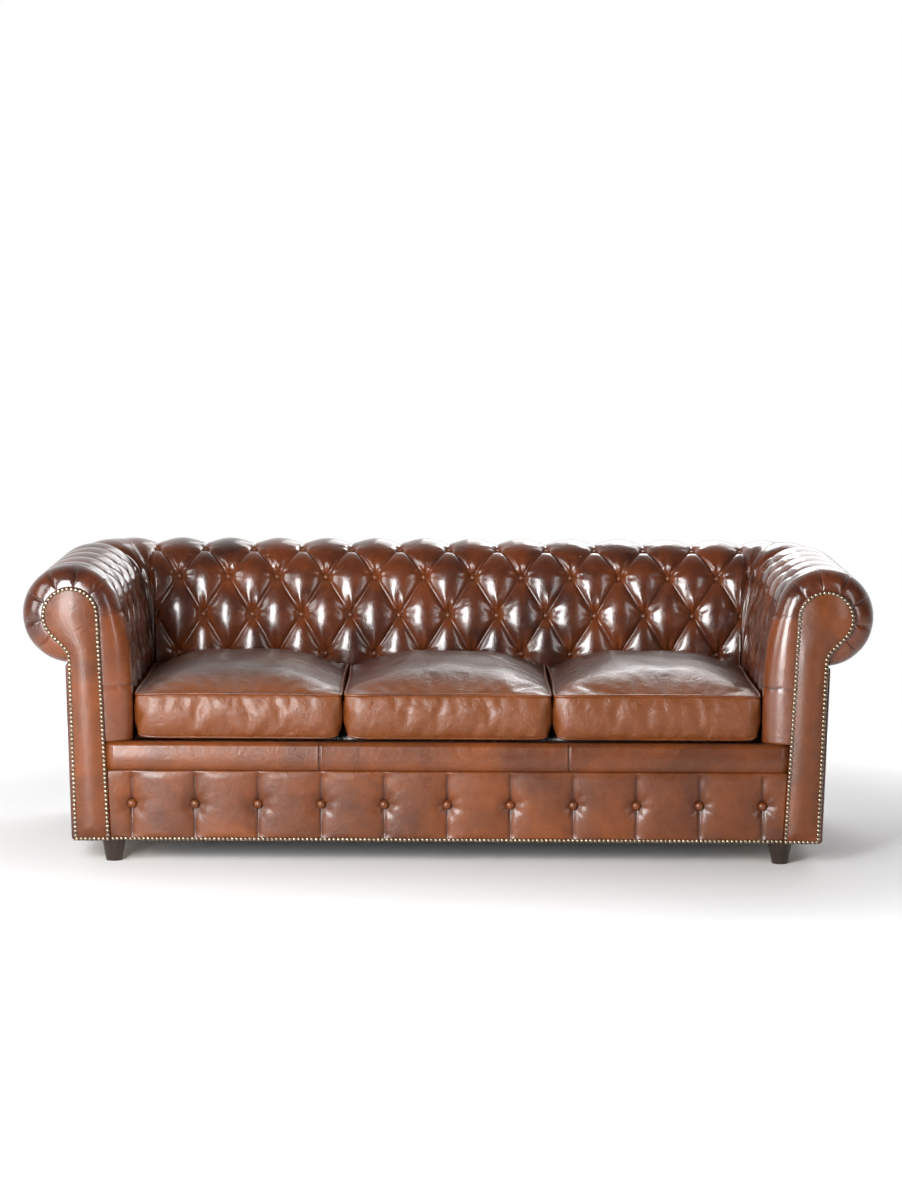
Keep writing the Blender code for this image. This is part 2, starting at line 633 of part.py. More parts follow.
def cushion(name, low_x, high_x, joint):
    """A boxed cushion: flat below, crowned above, with its sides drawn in between the corners."""
    front, rear = BORDER_FRONT + CUSHION_SETBACK, INNER_Y - CUSHION_GAP
    half = Vector(((high_x - low_x) / 2, (rear - front) / 2))
    middle = Vector(((low_x + high_x) / 2, (front + rear) / 2, FOOT_TOP + FIT))
    bm = bmesh.new()
    bmesh.ops.create_cube(bm, size=2.0)
    bmesh.ops.subdivide_edges(bm, edges=bm.edges, cuts=7, use_grid_fill=True)
    for vert in bm.verts:
        u, v, w = vert.co
        crown = CUSHION_CROWN * (1 - abs(u) ** 2.6) * (1 - abs(v) ** 2.6)
        belly = 1 - (2 * abs(w) - 1) ** 2 if abs(w) > 0.5 else 1.0
        pull = CUSHION_PULL * (1 - 0.3 * belly)
        vert.co.x = u * half.x - pull * u ** 3 * (1 - v * v)
        vert.co.y = v * half.y - pull * v ** 3 * (1 - u * u)
        vert.co.z = (w + 1) / 2 * (CUSHION_BAND + crown)
    obj = mesh_object(name, bm, "seat_leather", middle, smooth=True)
    attach(obj, joint)


def cushions(foot_joint):
    """The row of loose seat cushions, which lie on the folded bed."""
    reach = INNER_X - CUSHION_GAP
    width = (2 * reach - (CUSHION_COUNT - 1) * CUSHION_GAP) / CUSHION_COUNT
    for index, label in enumerate(("left", "middle", "right")[:CUSHION_COUNT]):
        low = -reach + index * (width + CUSHION_GAP)
        lift = empty(f"{label}_cushion_lift", (low + width / 2, 0, SEAT_HEIGHT), foot_joint)
        cushion(f"{label}_seat_cushion", low, low + width, lift)


# Bed action

WORLD_PLACE = {}


def empty(name, place, parent=None):
    """An empty on a joint's axis, carried by the joint before it."""
    obj = bpy.data.objects.new(name, None)
    obj.empty_display_size = 0.05
    WORLD_PLACE[name] = Vector(place)
    obj.location = place
    PARTS.objects.link(obj)
    if parent:
        attach(obj, parent)
    return obj


def attach(obj, parent):
    """Hang a piece on a joint's empty without moving it."""
    obj.location = Vector(obj.location) - WORLD_PLACE[parent.name]
    obj.parent = parent


def lug(bm, side, x, axis, leg, z_frame):
    """Add a hinge lug, an L whose leg stands on the frame and whose arm reaches the hinge axis.

    Axis is (y, z); leg gives the leg's y nearest the axis and furthest from it.
    """
    axis_y, axis_z = axis
    near, far = leg
    past = axis_y + math.copysign(LUG_RADIUS, axis_y - far)
    rise = math.copysign(LUG_RADIUS, axis_z - z_frame)
    outline = [(near, z_frame), (far, z_frame), (far, axis_z + rise), (past, axis_z + rise),
               (past, axis_z - rise), (near, axis_z - rise)]
    prism_mesh(bm, outline, side * x, side * (x + LUG_THICK))


def prism_mesh(bm, outline, start, end):
    """Add a flat outline in Y and Z, stretched between two places in X, to a bmesh."""
    ends = [[bm.verts.new((x, y, z)) for y, z in outline] for x in (start, end)]
    faces = [bm.faces.new(ends[0]), bm.faces.new(ends[1])]
    for index in range(len(outline)):
        turn = (index + 1) % len(outline)
        faces.append(bm.faces.new((ends[0][index], ends[0][turn], ends[1][turn], ends[1][index])))
    bm.normal_update()
    bmesh.ops.recalc_face_normals(bm, faces=faces)


def section_frame(name, y, z, lugs, holes, joint):
    """A rectangular tube frame with hinge lugs and pin holes; lugs and holes are bmeshes."""
    frame = box(name, (-BED_HALF, y[0], z), (BED_HALF, y[1], z + TUBE_HEIGHT), "black_steel")
    inside = bmesh.new()
    box_mesh(inside, (-BED_HALF + TUBE_WIDTH, y[0] + TUBE_WIDTH, z - TUBE_HEIGHT),
             (BED_HALF - TUBE_WIDTH, y[1] - TUBE_WIDTH, z + 2 * TUBE_HEIGHT))
    combine(frame, inside, "DIFFERENCE")
    combine(frame, lugs, "UNION")
    combine(frame, holes, "DIFFERENCE")
    attach(frame, joint)


def deck(name, y, z, joint):
    """The woven sheet that fills a section frame, flush with the side that carries the mattress."""
    inset = TUBE_WIDTH + FIT
    obj = box(name, (-BED_HALF + inset, y[0] + inset, z), (BED_HALF - inset, y[1] - inset, z + DECK_THICK),
              "deck_cloth")
    attach(obj, joint)


def mattress(name, y, z, joint):
    """One sewn panel of the mattress."""
    reach = BED_HALF - MATTRESS_INSET
    obj = box(name, (-reach, y[0], z), (reach, y[1], z + MATTRESS_THICK), "ticking", bevel=0.008)
    attach(obj, joint)


def pins(name, y, z, joint):
    """A left and a right hinge pin through the lugs of two sections."""
    for side, label in ((-1, "left"), (1, "right")):
        start = side * (LUG_INNER_X - LUG_THICK)
        end = side * (LUG_OUTER_X + LUG_THICK + FIT)
        bm = bmesh.new()
        rod_mesh(bm, (start, 0, 0), (end, 0, 0), PIN_RADIUS)
        attach(mesh_object(f"{label}_{name}", bm, "black_steel", (0, y, z), smooth=True), joint)


def hole(bm, x, y, z, radius):
    """Add a hole along X, through both sides of the bed, to a bmesh of cutters."""
    for side in (-1, 1):
        rod_mesh(bm, (side * x[0], y, z), (side * x[1], y, z), radius + FIT)


def leg_pair(name, y, z, reach, direction, joint):
    """A cross tube with a leg at each end, folded flat along the section."""
    tube_end = LEG_LUG_X - FIT
    tube = bmesh.new()
    rod_mesh(tube, (-tube_end, 0, 0), (tube_end, 0, 0), LEG_TUBE_RADIUS)
    legs = mesh_object(name, tube, "black_steel", (0, y, z), smooth=True)
    join = bmesh.new()
    for side in (-1, 1):
        rod_mesh(join, (side * reach, y, z), (side * reach, y + direction * LEG_LENGTH, z), LEG_RADIUS)
        rod_mesh(join, (side * (tube_end - LUG_THICK), y, z),
                 (side * (LEG_LUG_X + LUG_THICK), y, z), PIN_RADIUS)
    combine(legs, join, "UNION")
    attach(legs, joint)


def leg_lugs(lugs, holes, y, pivot_y, z_frame, z_pivot):
    """Lugs under an end bar that carry a pair of legs."""
    drop = math.copysign(LEG_SPACE / 2 - LEG_LUG_CLEARANCE, z_pivot - z_frame)
    low, high = sorted((z_frame, z_pivot + drop))
    for side in (-1, 1):
        x = sorted((side * LEG_LUG_X, side * (LEG_LUG_X + LUG_THICK)))
        box_mesh(lugs, (x[0], y[0], low), (x[1], y[1], high))
    hole(holes, (LEG_LUG_X - LUG_THICK, LEG_LUG_X + 2 * LUG_THICK), pivot_y, z_pivot, PIN_RADIUS)


def lift_arm(name, side, pivot_y, joint):
    """A flat bar with a pivot stud in the plate and a pin in the head section."""
    steps = 8
    lean = LIFT_START
    outline = arc((0, 0), LIFT_BAR_WIDTH / 2, lean + 90, lean + 270, steps)
    outline += arc((LIFT_DY, LIFT_DZ), LIFT_BAR_WIDTH / 2, lean - 90, lean + 90, steps)
    bm = bmesh.new()
    prism_mesh(bm, outline, side * LIFT_X, side * (LIFT_X + LIFT_BAR_THICK))
    obj = mesh_object(name, bm, "black_steel", (0, pivot_y, LIFT_PIVOT_Z))
    studs = bmesh.new()
    middle = side * (LIFT_X + LIFT_BAR_THICK / 2)
    rod_mesh(studs, (middle, pivot_y, LIFT_PIVOT_Z),
             (side * (PLATE_X + PLATE_THICK), pivot_y, LIFT_PIVOT_Z), LIFT_PIN_RADIUS)
    rod_mesh(studs, (middle, pivot_y + LIFT_DY, LIFT_PIN_Z),
             (side * (BED_HALF - LIFT_PIN_DEPTH), pivot_y + LIFT_DY, LIFT_PIN_Z), LIFT_PIN_RADIUS)
    combine(obj, studs, "UNION")
    attach(obj, joint)


def mechanism_plate(name, side, pivots):
    """The steel plate on a side rail that the lift arms turn on."""
    x = sorted((side * PLATE_X, side * (PLATE_X + PLATE_THICK)))
    plate = box(name, (x[0], min(pivots) - PLATE_MARGIN, LIFT_PIVOT_Z - PLATE_MARGIN),
                (x[1], max(pivots) + PLATE_MARGIN, LIFT_PIVOT_Z + PLATE_MARGIN), "black_steel")
    bores = bmesh.new()
    for pivot in pivots:
        rod_mesh(bores, (x[0] - PLATE_THICK, pivot, LIFT_PIVOT_Z),
                 (x[1] + PLATE_THICK, pivot, LIFT_PIVOT_Z), LIFT_PIN_RADIUS + FIT)
    combine(plate, bores, "DIFFERENCE")


def bed():
    """The folded bed: lift arms, three hinged sections, legs and the joints between them."""
    pivots = {"front": FOLD1_Y + FRONT_PIN - LIFT_DY, "rear": FOLD1_Y + REAR_PIN - LIFT_DY}
    lifts = {}
    for side, label in ((-1, "left"), (1, "right")):
        mechanism_plate(f"{label}_mechanism_plate", side, pivots.values())
        for end, pivot in pivots.items():
            joint = empty(f"{label}_{end}_lift_pivot", (0, pivot, LIFT_PIVOT_Z))
            lift_arm(f"{label}_{end}_lift_arm", side, pivot, joint)
            lifts[label, end] = joint
    head = empty("head_pivot", (0, FOLD1_Y + FRONT_PIN, LIFT_PIN_Z), lifts["left", "front"])
    middle = empty("first_fold", (0, FOLD1_Y, FOLD1_Z), head)
    foot_joint = empty("second_fold", (0, FOLD2_Y, FOLD2_Z), middle)

    head_y = (FOLD1_Y + FRAME_SETBACK, FOLD1_Y + HEAD_LENGTH)
    middle_y = (FOLD1_Y + FRAME_SETBACK, FOLD2_Y - HINGE_END_GAP)
    foot_y = (FOOT_FRONT, FOLD2_Y - HINGE_END_GAP)
    fold1, fold2 = (FOLD1_Y, FOLD1_Z), (FOLD2_Y, FOLD2_Z)
    fold1_leg = (head_y[0], head_y[0] + WELD_SHARE * TUBE_WIDTH)
    fold2_leg = (foot_y[1], foot_y[1] - WELD_SHARE * TUBE_WIDTH)
    head_grip = HEAD_FRAME_Z + TUBE_HEIGHT / 4
    middle_grip = MIDDLE_FRAME_Z + TUBE_HEIGHT / 2
    foot_grip = FOOT_FRAME_Z + WELD_SHARE * TUBE_HEIGHT
    lug_x = (LUG_INNER_X - LUG_THICK, LUG_OUTER_X + 2 * LUG_THICK)

    lugs, holes = bmesh.new(), bmesh.new()
    for side in (-1, 1):
        lug(lugs, side, LUG_INNER_X, fold1, fold1_leg, head_grip)
    hole(holes, lug_x, FOLD1_Y, FOLD1_Z, PIN_RADIUS)
    for pin in (FRONT_PIN, REAR_PIN):
        hole(holes, (BED_HALF - 2 * TUBE_WIDTH, BED_HALF + TUBE_WIDTH), FOLD1_Y + pin, LIFT_PIN_Z,
             LIFT_PIN_RADIUS)
    section_frame("head_section_frame", head_y, HEAD_FRAME_Z, lugs, holes, head)
    deck("head_section_deck", head_y, HEAD_FRAME_Z + TUBE_HEIGHT - DECK_THICK, head)
    mattress("head_mattress_panel", (FOLD1_Y + HINGE_END_GAP, head_y[1]),
             HEAD_FRAME_Z + TUBE_HEIGHT + FIT, head)

    lugs, holes = bmesh.new(), bmesh.new()
    for side in (-1, 1):
        lug(lugs, side, LUG_OUTER_X, fold1, fold1_leg, middle_grip)
        lug(lugs, side, LUG_INNER_X, fold2, fold2_leg, middle_grip)
    hole(holes, lug_x, FOLD1_Y, FOLD1_Z, PIN_RADIUS)
    hole(holes, lug_x, FOLD2_Y, FOLD2_Z, PIN_RADIUS)
    middle_pivot = middle_y[1] - 2 * TUBE_WIDTH
    leg_lugs(lugs, holes, (middle_pivot - LUG_RADIUS, middle_y[1]), middle_pivot, middle_grip, FOLD2_Z)
    section_frame("middle_section_frame", middle_y, MIDDLE_FRAME_Z, lugs, holes, middle)
    deck("middle_section_deck", middle_y, MIDDLE_FRAME_Z, middle)
    mattress("middle_mattress_panel", (FOLD1_Y + HINGE_END_GAP, middle_y[1]), FOLD1_Z + FIT / 2, middle)
    pins("first_hinge_pin", FOLD1_Y, FOLD1_Z, head)

    lugs, holes = bmesh.new(), bmesh.new()
    for side in (-1, 1):
        lug(lugs, side, LUG_OUTER_X, fold2, fold2_leg, foot_grip)
    hole(holes, lug_x, FOLD2_Y, FOLD2_Z, PIN_RADIUS)
    foot_pivot = foot_y[0] + 2 * TUBE_WIDTH
    leg_lugs(lugs, holes, (foot_y[0], foot_pivot + LUG_RADIUS), foot_pivot, foot_grip, FOLD2_Z)
    section_frame("foot_section_frame", foot_y, FOOT_FRAME_Z, lugs, holes, foot_joint)
    deck("foot_section_deck", foot_y, FOOT_FRAME_Z + TUBE_HEIGHT - DECK_THICK, foot_joint)
    mattress("foot_mattress_panel", foot_y, FOOT_FRAME_Z + TUBE_HEIGHT + FIT, foot_joint)
    pins("second_hinge_pin", FOLD2_Y, FOLD2_Z, middle)

    middle_legs = empty("middle_leg_pivot", (0, middle_pivot, FOLD2_Z), middle)
    leg_pair("middle_legs", middle_pivot, FOLD2_Z, LEG_LUG_X - MIDDLE_LEG_INSET, -1, middle_legs)
    foot_legs = empty("foot_leg_pivot", (0, foot_pivot, FOLD2_Z), foot_joint)
    leg_pair("foot_legs", foot_pivot, FOLD2_Z, LEG_LUG_X - FOOT_LEG_INSET, 1, foot_legs)
    cushions(foot_joint)


base()
arm(-1, "left")
arm(1, "right")
back()
borders()
bed()
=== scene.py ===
# %% [markdown]
# Buttoned leather sofa bed
#
# This lesson dresses a working model of a sofa bed. The model's timber, steel and joints come from a packed
# frame, and each cell here adds what an upholsterer would: leather, buttons, nails, cushions and a mattress.
# The frame is in metres, with +Z up and the sofa's front towards -Y.

# %% Load the frame
import json
import math

import bmesh
import bpy
import numpy as np
from mathutils import Matrix, Vector


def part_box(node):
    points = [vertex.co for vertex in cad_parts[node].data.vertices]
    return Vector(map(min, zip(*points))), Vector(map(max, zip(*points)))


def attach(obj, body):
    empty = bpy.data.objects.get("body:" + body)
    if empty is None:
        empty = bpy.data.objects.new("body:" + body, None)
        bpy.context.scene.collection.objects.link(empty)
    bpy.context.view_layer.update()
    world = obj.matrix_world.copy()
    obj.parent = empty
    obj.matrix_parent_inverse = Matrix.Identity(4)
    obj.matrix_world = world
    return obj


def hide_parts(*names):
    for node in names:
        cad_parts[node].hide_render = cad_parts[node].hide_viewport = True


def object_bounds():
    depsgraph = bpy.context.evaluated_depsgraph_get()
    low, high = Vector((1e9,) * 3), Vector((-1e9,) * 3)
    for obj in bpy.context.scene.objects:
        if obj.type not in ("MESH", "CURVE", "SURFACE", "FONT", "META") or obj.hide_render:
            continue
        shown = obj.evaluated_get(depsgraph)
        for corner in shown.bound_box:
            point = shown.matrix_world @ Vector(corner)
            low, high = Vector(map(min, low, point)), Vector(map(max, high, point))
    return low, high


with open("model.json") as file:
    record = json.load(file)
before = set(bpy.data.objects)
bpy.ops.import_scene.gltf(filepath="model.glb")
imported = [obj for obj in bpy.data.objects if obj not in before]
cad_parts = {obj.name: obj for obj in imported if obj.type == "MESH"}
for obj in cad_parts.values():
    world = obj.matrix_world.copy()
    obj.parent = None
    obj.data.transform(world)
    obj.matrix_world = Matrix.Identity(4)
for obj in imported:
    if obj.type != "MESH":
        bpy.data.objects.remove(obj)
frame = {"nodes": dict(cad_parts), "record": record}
CAD_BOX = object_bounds()

# %% [markdown]
# The camera
#
# The sofa was photographed from far off with a long lens, from a little above a standing person's eyes.
# The lens is worked out in pixels of a picture 1200 pixels high: how many pixels a metre covers at the front
# of the sofa, times how far off that front is. A long lens far away keeps the two arms nearly upright.

# %% Place the camera
PICTURE_HEIGHT = 1200
SENSOR = 36.0
FRONT_Y = CAD_BOX[0][1]
CAMERA_DISTANCE = 9.0               # to the front of the sofa
CAMERA_HEIGHT = 1.647
CAMERA_ASIDE = 0.002
PIXELS_PER_METRE = 389.5            # at the front of the sofa
TILT_DOWN = math.radians(6.05)
ROLL = math.radians(-0.3)

camera_data = bpy.data.cameras.new("photo_camera")
camera_data.sensor_width = SENSOR
camera_data.lens = SENSOR * PIXELS_PER_METRE * CAMERA_DISTANCE / PICTURE_HEIGHT
camera = bpy.data.objects.new("photo_camera", camera_data)
bpy.context.scene.collection.objects.link(camera)
camera.location = (CAMERA_ASIDE, FRONT_Y - CAMERA_DISTANCE, CAMERA_HEIGHT)
camera.rotation_euler = (math.pi / 2 - TILT_DOWN, ROLL, 0)
bpy.context.scene.camera = camera
print("lens:", round(camera_data.lens, 1), "mm")

# %% [markdown]
# Shader nodes
#
# Every surface here is a small network of shader nodes. These helpers add one node each and give the socket
# of its result, so that a network reads like a sum.

# %% Define the node helpers
def feed(tree, item, inputs):
    """Set a node's inputs to values, or link them to other sockets."""
    for key, value in inputs.items():
        if isinstance(value, bpy.types.NodeSocket):
            tree.links.new(value, item.inputs[key])
        else:
            item.inputs[key].default_value = value


def add_node(tree, kind, inputs=None, **settings):
    """A shader node with its settings and inputs."""
    item = tree.nodes.new(kind)
    for key, value in settings.items():
        setattr(item, key, value)
    feed(tree, item, inputs or {})
    return item


def calculate(tree, operation, one, other):
    """One sum on two values."""
    return add_node(tree, "ShaderNodeMath", {0: one, 1: other}, operation=operation).outputs[0]


def spread(tree, socket, low, high, start=0.0, end=1.0, **settings):
    """Stretch a value so that low becomes start and high becomes end."""
    item = add_node(tree, "ShaderNodeMapRange", {"Value": socket, "From Min": low, "From Max": high,
                                                 "To Min": start, "To Max": end}, **settings)
    return item.outputs["Result"]


def seen_by_camera(tree):
    """1 for what the camera itself sees, and 0 for mirrored and scattered light."""
    return add_node(tree, "ShaderNodeLightPath").outputs["Is Camera Ray"]


def noise(tree, place, scale, detail, roughness=0.5, distortion=0.0):
    """Cloudy noise over a place."""
    inputs = {"Vector": place, "Scale": scale, "Detail": detail, "Roughness": roughness,
              "Distortion": distortion}
    return add_node(tree, "ShaderNodeTexNoise", inputs).outputs["Fac"]


def bump(tree, height, strength, distance, **more):
    """Normals of a surface that rises and falls with a value."""
    return add_node(tree, "ShaderNodeBump", {"Height": height, "Strength": strength, "Distance": distance,
                                             **more}).outputs["Normal"]


def mix_colour(tree, factor, one, other):
    """Mix two colours, which may be sockets."""
    one, other = (value if isinstance(value, bpy.types.NodeSocket) else (*value, 1) for value in (one, other))
    return add_node(tree, "ShaderNodeMix", {0: factor, 6: one, 7: other}, data_type="RGBA").outputs[2]


def hollowness(tree):
    """The attribute named hollow that pieces carry on their points."""
    return add_node(tree, "ShaderNodeAttribute", attribute_name="hollow").outputs["Fac"]


def new_material(name):
    """An empty material; gives it, its node tree, its shader and the object's own coordinates."""
    material = bpy.data.materials.new(name)
    material.use_nodes = True
    tree = material.node_tree
    place = add_node(tree, "ShaderNodeTexCoord").outputs["Object"]
    return material, tree, tree.nodes["Principled BSDF"], place


print("node helpers are ready")

# %% [markdown]
# Floor and light
#
# A pale floor glows towards its edges, so that it vanishes into a white room. Gloss needs something bright to
# mirror, and something dark beside it. So the light of the room comes from behind the sofa, and it is dim in
# front, where tall lamps put the upright white strips on the buttoned back. A wide lamp behind lays the grey
# sheen on the seat and rolls, and a small one adds to it on the right. The camera itself sees the room as
# white all round.

# %% Make the floor and the lamps
FLOOR_SIZE, FLOOR_WIDEN, FLOOR_Y = 8, 1.8, -2
FLOOR_COLOUR, WHITE = (0.88, 0.88, 0.88, 1), (1, 1, 1, 1)
GLOW_START, GLOW_END, GLOW = 1.2, 2.6, 0.6      # distances from the middle of the sofa, and strength
ROOM_FRONT, ROOM_REAR = 0.05, 1.1   # strength of the room's light

bpy.ops.object.select_all(action="DESELECT")
bpy.ops.mesh.primitive_plane_add(size=FLOOR_SIZE, location=(0, FLOOR_Y, 0))
floor = bpy.context.object
floor.name = "studio_floor"
floor.scale.x = FLOOR_WIDEN
paint, tree, shader, _ = new_material("pale_floor")
where = add_node(tree, "ShaderNodeNewGeometry").outputs["Position"]
away = add_node(tree, "ShaderNodeVectorMath", {0: where}, operation="LENGTH").outputs["Value"]
glow = spread(tree, away, GLOW_START, GLOW_END, 0.0, GLOW, interpolation_type="SMOOTHSTEP")
feed(tree, shader, {"Base Color": FLOOR_COLOUR, "Roughness": 0.95, "Emission Color": WHITE,
                    "Emission Strength": calculate(tree, "MULTIPLY", seen_by_camera(tree), glow)})
floor.data.materials.append(paint)


def lamp(name, place, target, size, power):
    """A rectangular soft lamp that faces a point."""
    data = bpy.data.lights.new(name, "AREA")
    data.shape = "RECTANGLE"
    data.size, data.size_y = size
    data.energy = power
    item = bpy.data.objects.new(name, data)
    bpy.context.scene.collection.objects.link(item)
    item.location = place
    item.rotation_euler = (Vector(target) - Vector(place)).to_track_quat("-Z", "Y").to_euler()
    item.visible_camera = False


lamp("rear_lamp", (1.2, 3.4, 2.8), (0.4, 0.2, 0.6), (3.0, 2.4), 62)
lamp("left_front_lamp", (-1.65, -4.2, 1.35), (0, 0.2, 0.55), (1.2, 2.5), 258)
lamp("left_side_lamp", (-3.6, -2.6, 1.7), (-0.6, 0.0, 0.5), (1.6, 2.6), 104)
lamp("right_front_lamp", (2.6, -3.6, 1.6), (0.2, 0.2, 0.55), (0.6, 2.6), 30)
lamp("seat_lamp", (0.62, 1.5, 1.75), (0.55, -0.15, 0.47), (0.5, 0.4), 6)

world = bpy.data.worlds.new("studio_world")
world.use_nodes = True
tree = world.node_tree
towards = add_node(tree, "ShaderNodeTexCoord").outputs["Generated"]
rearward = add_node(tree, "ShaderNodeSeparateXYZ", {"Vector": towards}).outputs["Y"]
glow = spread(tree, rearward, -0.2, 0.8, ROOM_FRONT, ROOM_REAR, interpolation_type="SMOOTHSTEP")
strength = add_node(tree, "ShaderNodeMix", {0: seen_by_camera(tree), 2: glow, 3: 1.0}).outputs[0]
feed(tree, tree.nodes["Background"], {"Color": WHITE, "Strength": strength})
bpy.context.scene.world = world
bpy.context.scene.view_settings.view_transform = "Standard"
print("lamps:", len(bpy.data.lights))

# %% [markdown]
# Leather
#
# The hide is hand-antiqued and waxed to a shine: dark red-brown on the arms and back, with an orange tan
# rubbed into the hollows round the buttons, and tan on the front, where the seams stay dark. Some of the
# colour is painted shade and light: a dark core right next to each button of the arms and back, darker pleats
# and button hollows on the front, and a paler band and front edge on the seat cushions, painted as lit faces.
# Two noises of different size mottle the colour. An attribute named hollow, which each pad carries on its
# points, says where the colour changes. The grain is a bump of small cells, with creases over it.

# %% Mix the leathers
def leather(name, dark, middle, tone_and_painted_light, roughness, crease=1.0, coat=0.35, mirror=0.5):
    """Waxed leather that is mottled from dark to middle and turns to a second colour where its hollow
    attribute says: rubbed tan on the arms and back, painted shade and dark seams on the front, painted light
    on the seat.
    """
    material, tree, shader, place = new_material(name)
    patches = noise(tree, place, 5.0, 6.0, 0.62, 0.4)
    mottle = noise(tree, place, 38.0, 8.0, 0.7)
    colour = mix_colour(tree, spread(tree, patches, 0.38, 0.62), dark, middle)
    colour = mix_colour(tree, hollowness(tree), colour, tone_and_painted_light)
    shade = spread(tree, mottle, 0.25, 0.75, 0.80, 1.08)
    scaled = add_node(tree, "ShaderNodeVectorMath", {0: colour, "Scale": shade}, operation="SCALE")
    cells = add_node(tree, "ShaderNodeTexVoronoi", {"Vector": place, "Scale": 420.0},
                     feature="DISTANCE_TO_EDGE").outputs["Distance"]
    grain = bump(tree, cells, 0.10, 0.0006)
    folds = noise(tree, place, 26.0, 9.0, 0.58, 1.2)
    feed(tree, shader, {"Base Color": scaled.outputs["Vector"],
                        "Roughness": spread(tree, mottle, 0.3, 0.75, roughness - 0.05, roughness + 0.09),
                        "Specular IOR Level": mirror, "Coat Weight": coat, "Coat Roughness": 0.10,
                        "Normal": bump(tree, folds, 0.28 * crease, 0.006, Normal=grain)})
    return material


DARK_LEATHER = leather("dark_leather", (0.044, 0.014, 0.009), (0.128, 0.032, 0.011), (0.22, 0.056, 0.012),
                       0.21, crease=0.6)
# tan's second colour is dark: painted shade in the border's pleats and button hollows, and the rail's seams
TAN_LEATHER = leather("tan_leather", (0.085, 0.022, 0.006), (0.165, 0.041, 0.007), (0.042, 0.010, 0.004),
                      0.33, crease=0.7, coat=0.15, mirror=0.35)
# the seat's second colour is paler: painted light on the cushion bands and the front of their tops
SEAT_LEATHER = leather("seat_leather", (0.045, 0.014, 0.007), (0.090, 0.026, 0.009), (0.160, 0.042, 0.007),
                       0.38, crease=1.6, coat=0.1, mirror=0.4)
print("leathers:", 3)

# %% [markdown]
# The roll and its buttons
#
# Arms and back share one section. It climbs the padded face, goes over the roll and turns under it. "Out" is
# measured outwards from the roll's centre line, so the same section serves the arms, where out runs along X,
# and the back, where it runs along Y. Diamond buttoning is a lattice: every other row is set over by half a
# pitch, folds join the buttons, and past the first and last rows they run straight on as pleats. Neither
# an operator nor a modifier gives that, so the depth of the leather is a formula over the section.

# %% Work out the section
ROLL_RADIUS = 0.128
ROLL_X, ROLL_Y, ROLL_Z = 0.978, 0.372, 0.647    # centre lines of the arm rolls and the back roll
PAD_DEPTH = 0.157                   # roll centre to the padded inner face
PAD_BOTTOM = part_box("back_pad")[0][2]
FACE_JOIN, ROLL_TURN = 160, 83      # degrees where the face runs into the roll, and that it turns under
GAP = 0.0003                        # between pieces that touch
NORMAL_STEP = 0.004                 # to each side of a place whose normal is wanted


def cubic(t, start, first, second, end):
    """Points on a Bezier curve."""
    return (1 - t) ** 3 * start + 3 * t * (1 - t) ** 2 * first + 3 * t * t * (1 - t) * second + t ** 3 * end


def section_curve():
    """Points (out, z) along the upholstered surface of a roll."""
    join = math.radians(FACE_JOIN)
    start = np.array((-PAD_DEPTH, PAD_BOTTOM))
    end = np.array((ROLL_RADIUS * math.cos(join), ROLL_Z + ROLL_RADIUS * math.sin(join)))
    reach = np.linalg.norm(end - start) / 3
    first = start + (0, reach)
    second = end - reach * np.array((math.sin(join), -math.cos(join)))
    t = np.linspace(0, 1, 60, endpoint=False)[:, None]
    face = cubic(t, start, first, second, end)
    turn = np.radians(np.linspace(FACE_JOIN, -ROLL_TURN, 91))
    roll = np.stack((ROLL_RADIUS * np.cos(turn), ROLL_Z + ROLL_RADIUS * np.sin(turn)), axis=1)
    return np.concatenate((face, roll))


CURVE = section_curve()
LENGTHS = np.concatenate(([0.0], np.cumsum(np.linalg.norm(np.diff(CURVE, axis=0), axis=1))))
SURFACE_LENGTH = LENGTHS[-1]


def on_section(distance):
    """Points (out, z) and outward normals at distances along the section."""
    distance = np.asarray(distance, dtype=float)

    def at(where):
        return np.stack([np.interp(where, LENGTHS, CURVE[:, axis]) for axis in (0, 1)], axis=-1)

    along = at(distance + NORMAL_STEP) - at(distance - NORMAL_STEP)
    along /= np.linalg.norm(along, axis=-1, keepdims=True)
    return at(distance), np.stack((-along[..., 1], along[..., 0]), axis=-1)


print("leather over the roll:", round(SURFACE_LENGTH, 3), "m")

# %% Work out the buttoning
BUTTON_PITCH = 0.1368               # between buttons of one row
ROW_PITCH = 0.112                   # between rows, along the leather
FIRST_ROW = 0.146                   # lowest row above the bottom of the pad
BUTTON_ROWS = 4
FOLD_PITCH = BUTTON_PITCH * ROW_PITCH / math.hypot(BUTTON_PITCH / 2, ROW_PITCH)   # between parallel folds
SWELL_DEPTH = 0.015                 # how far a pillow rises over the folds round it
PILLOW_ROUND = 0.62                 # 1 is a gentle wave, and less makes a fuller pillow
CREASE_DEPTH, CREASE_WIDTH = 0.0050, 0.0020
BUTTON_DEPTH, BUTTON_REACH = 0.013, 0.017
FAN_FOLDS, FAN_DEPTH = 9, 0.0042    # small folds that fan upwards from a button
FAN_START, FAN_REACH = 0.014, 0.042
BUTTON_SHADE_REACH, RUB_REACH = 0.012, 0.028     # reach of the painted shade right next to a button, and of the rubbed ring round it
RUB, BUTTON_SHADE, RUB_CREASE = 0.65, 0.9, 0.12     # how much: rubbed tan in the ring, painted shade taken off it next to a button, tan in the folds
PAD_END_FADE = 0.06                 # length over which tufts fade out at the edges of a pad
CELLS = 20                          # mesh cells between two rows, and in half a pitch
CELL = BUTTON_PITCH / 2 / CELLS
FACE_CELLS, PLEAT_CELLS = 24, 60    # below the first row, and past the last
NOSE_PLEATS = 10                    # in a full turn round an arm's nose
NOSE_TURN = 0.3                     # turns the pleats, as a share of their pitch
PLEAT_SIDE = 0.0018                 # from the bottom of a pleat to a point on each side


def ease(value):
    """Smooth step from 0 to 1."""
    value = np.clip(value, 0.0, 1.0)
    return value * value * (3 - 2 * value)


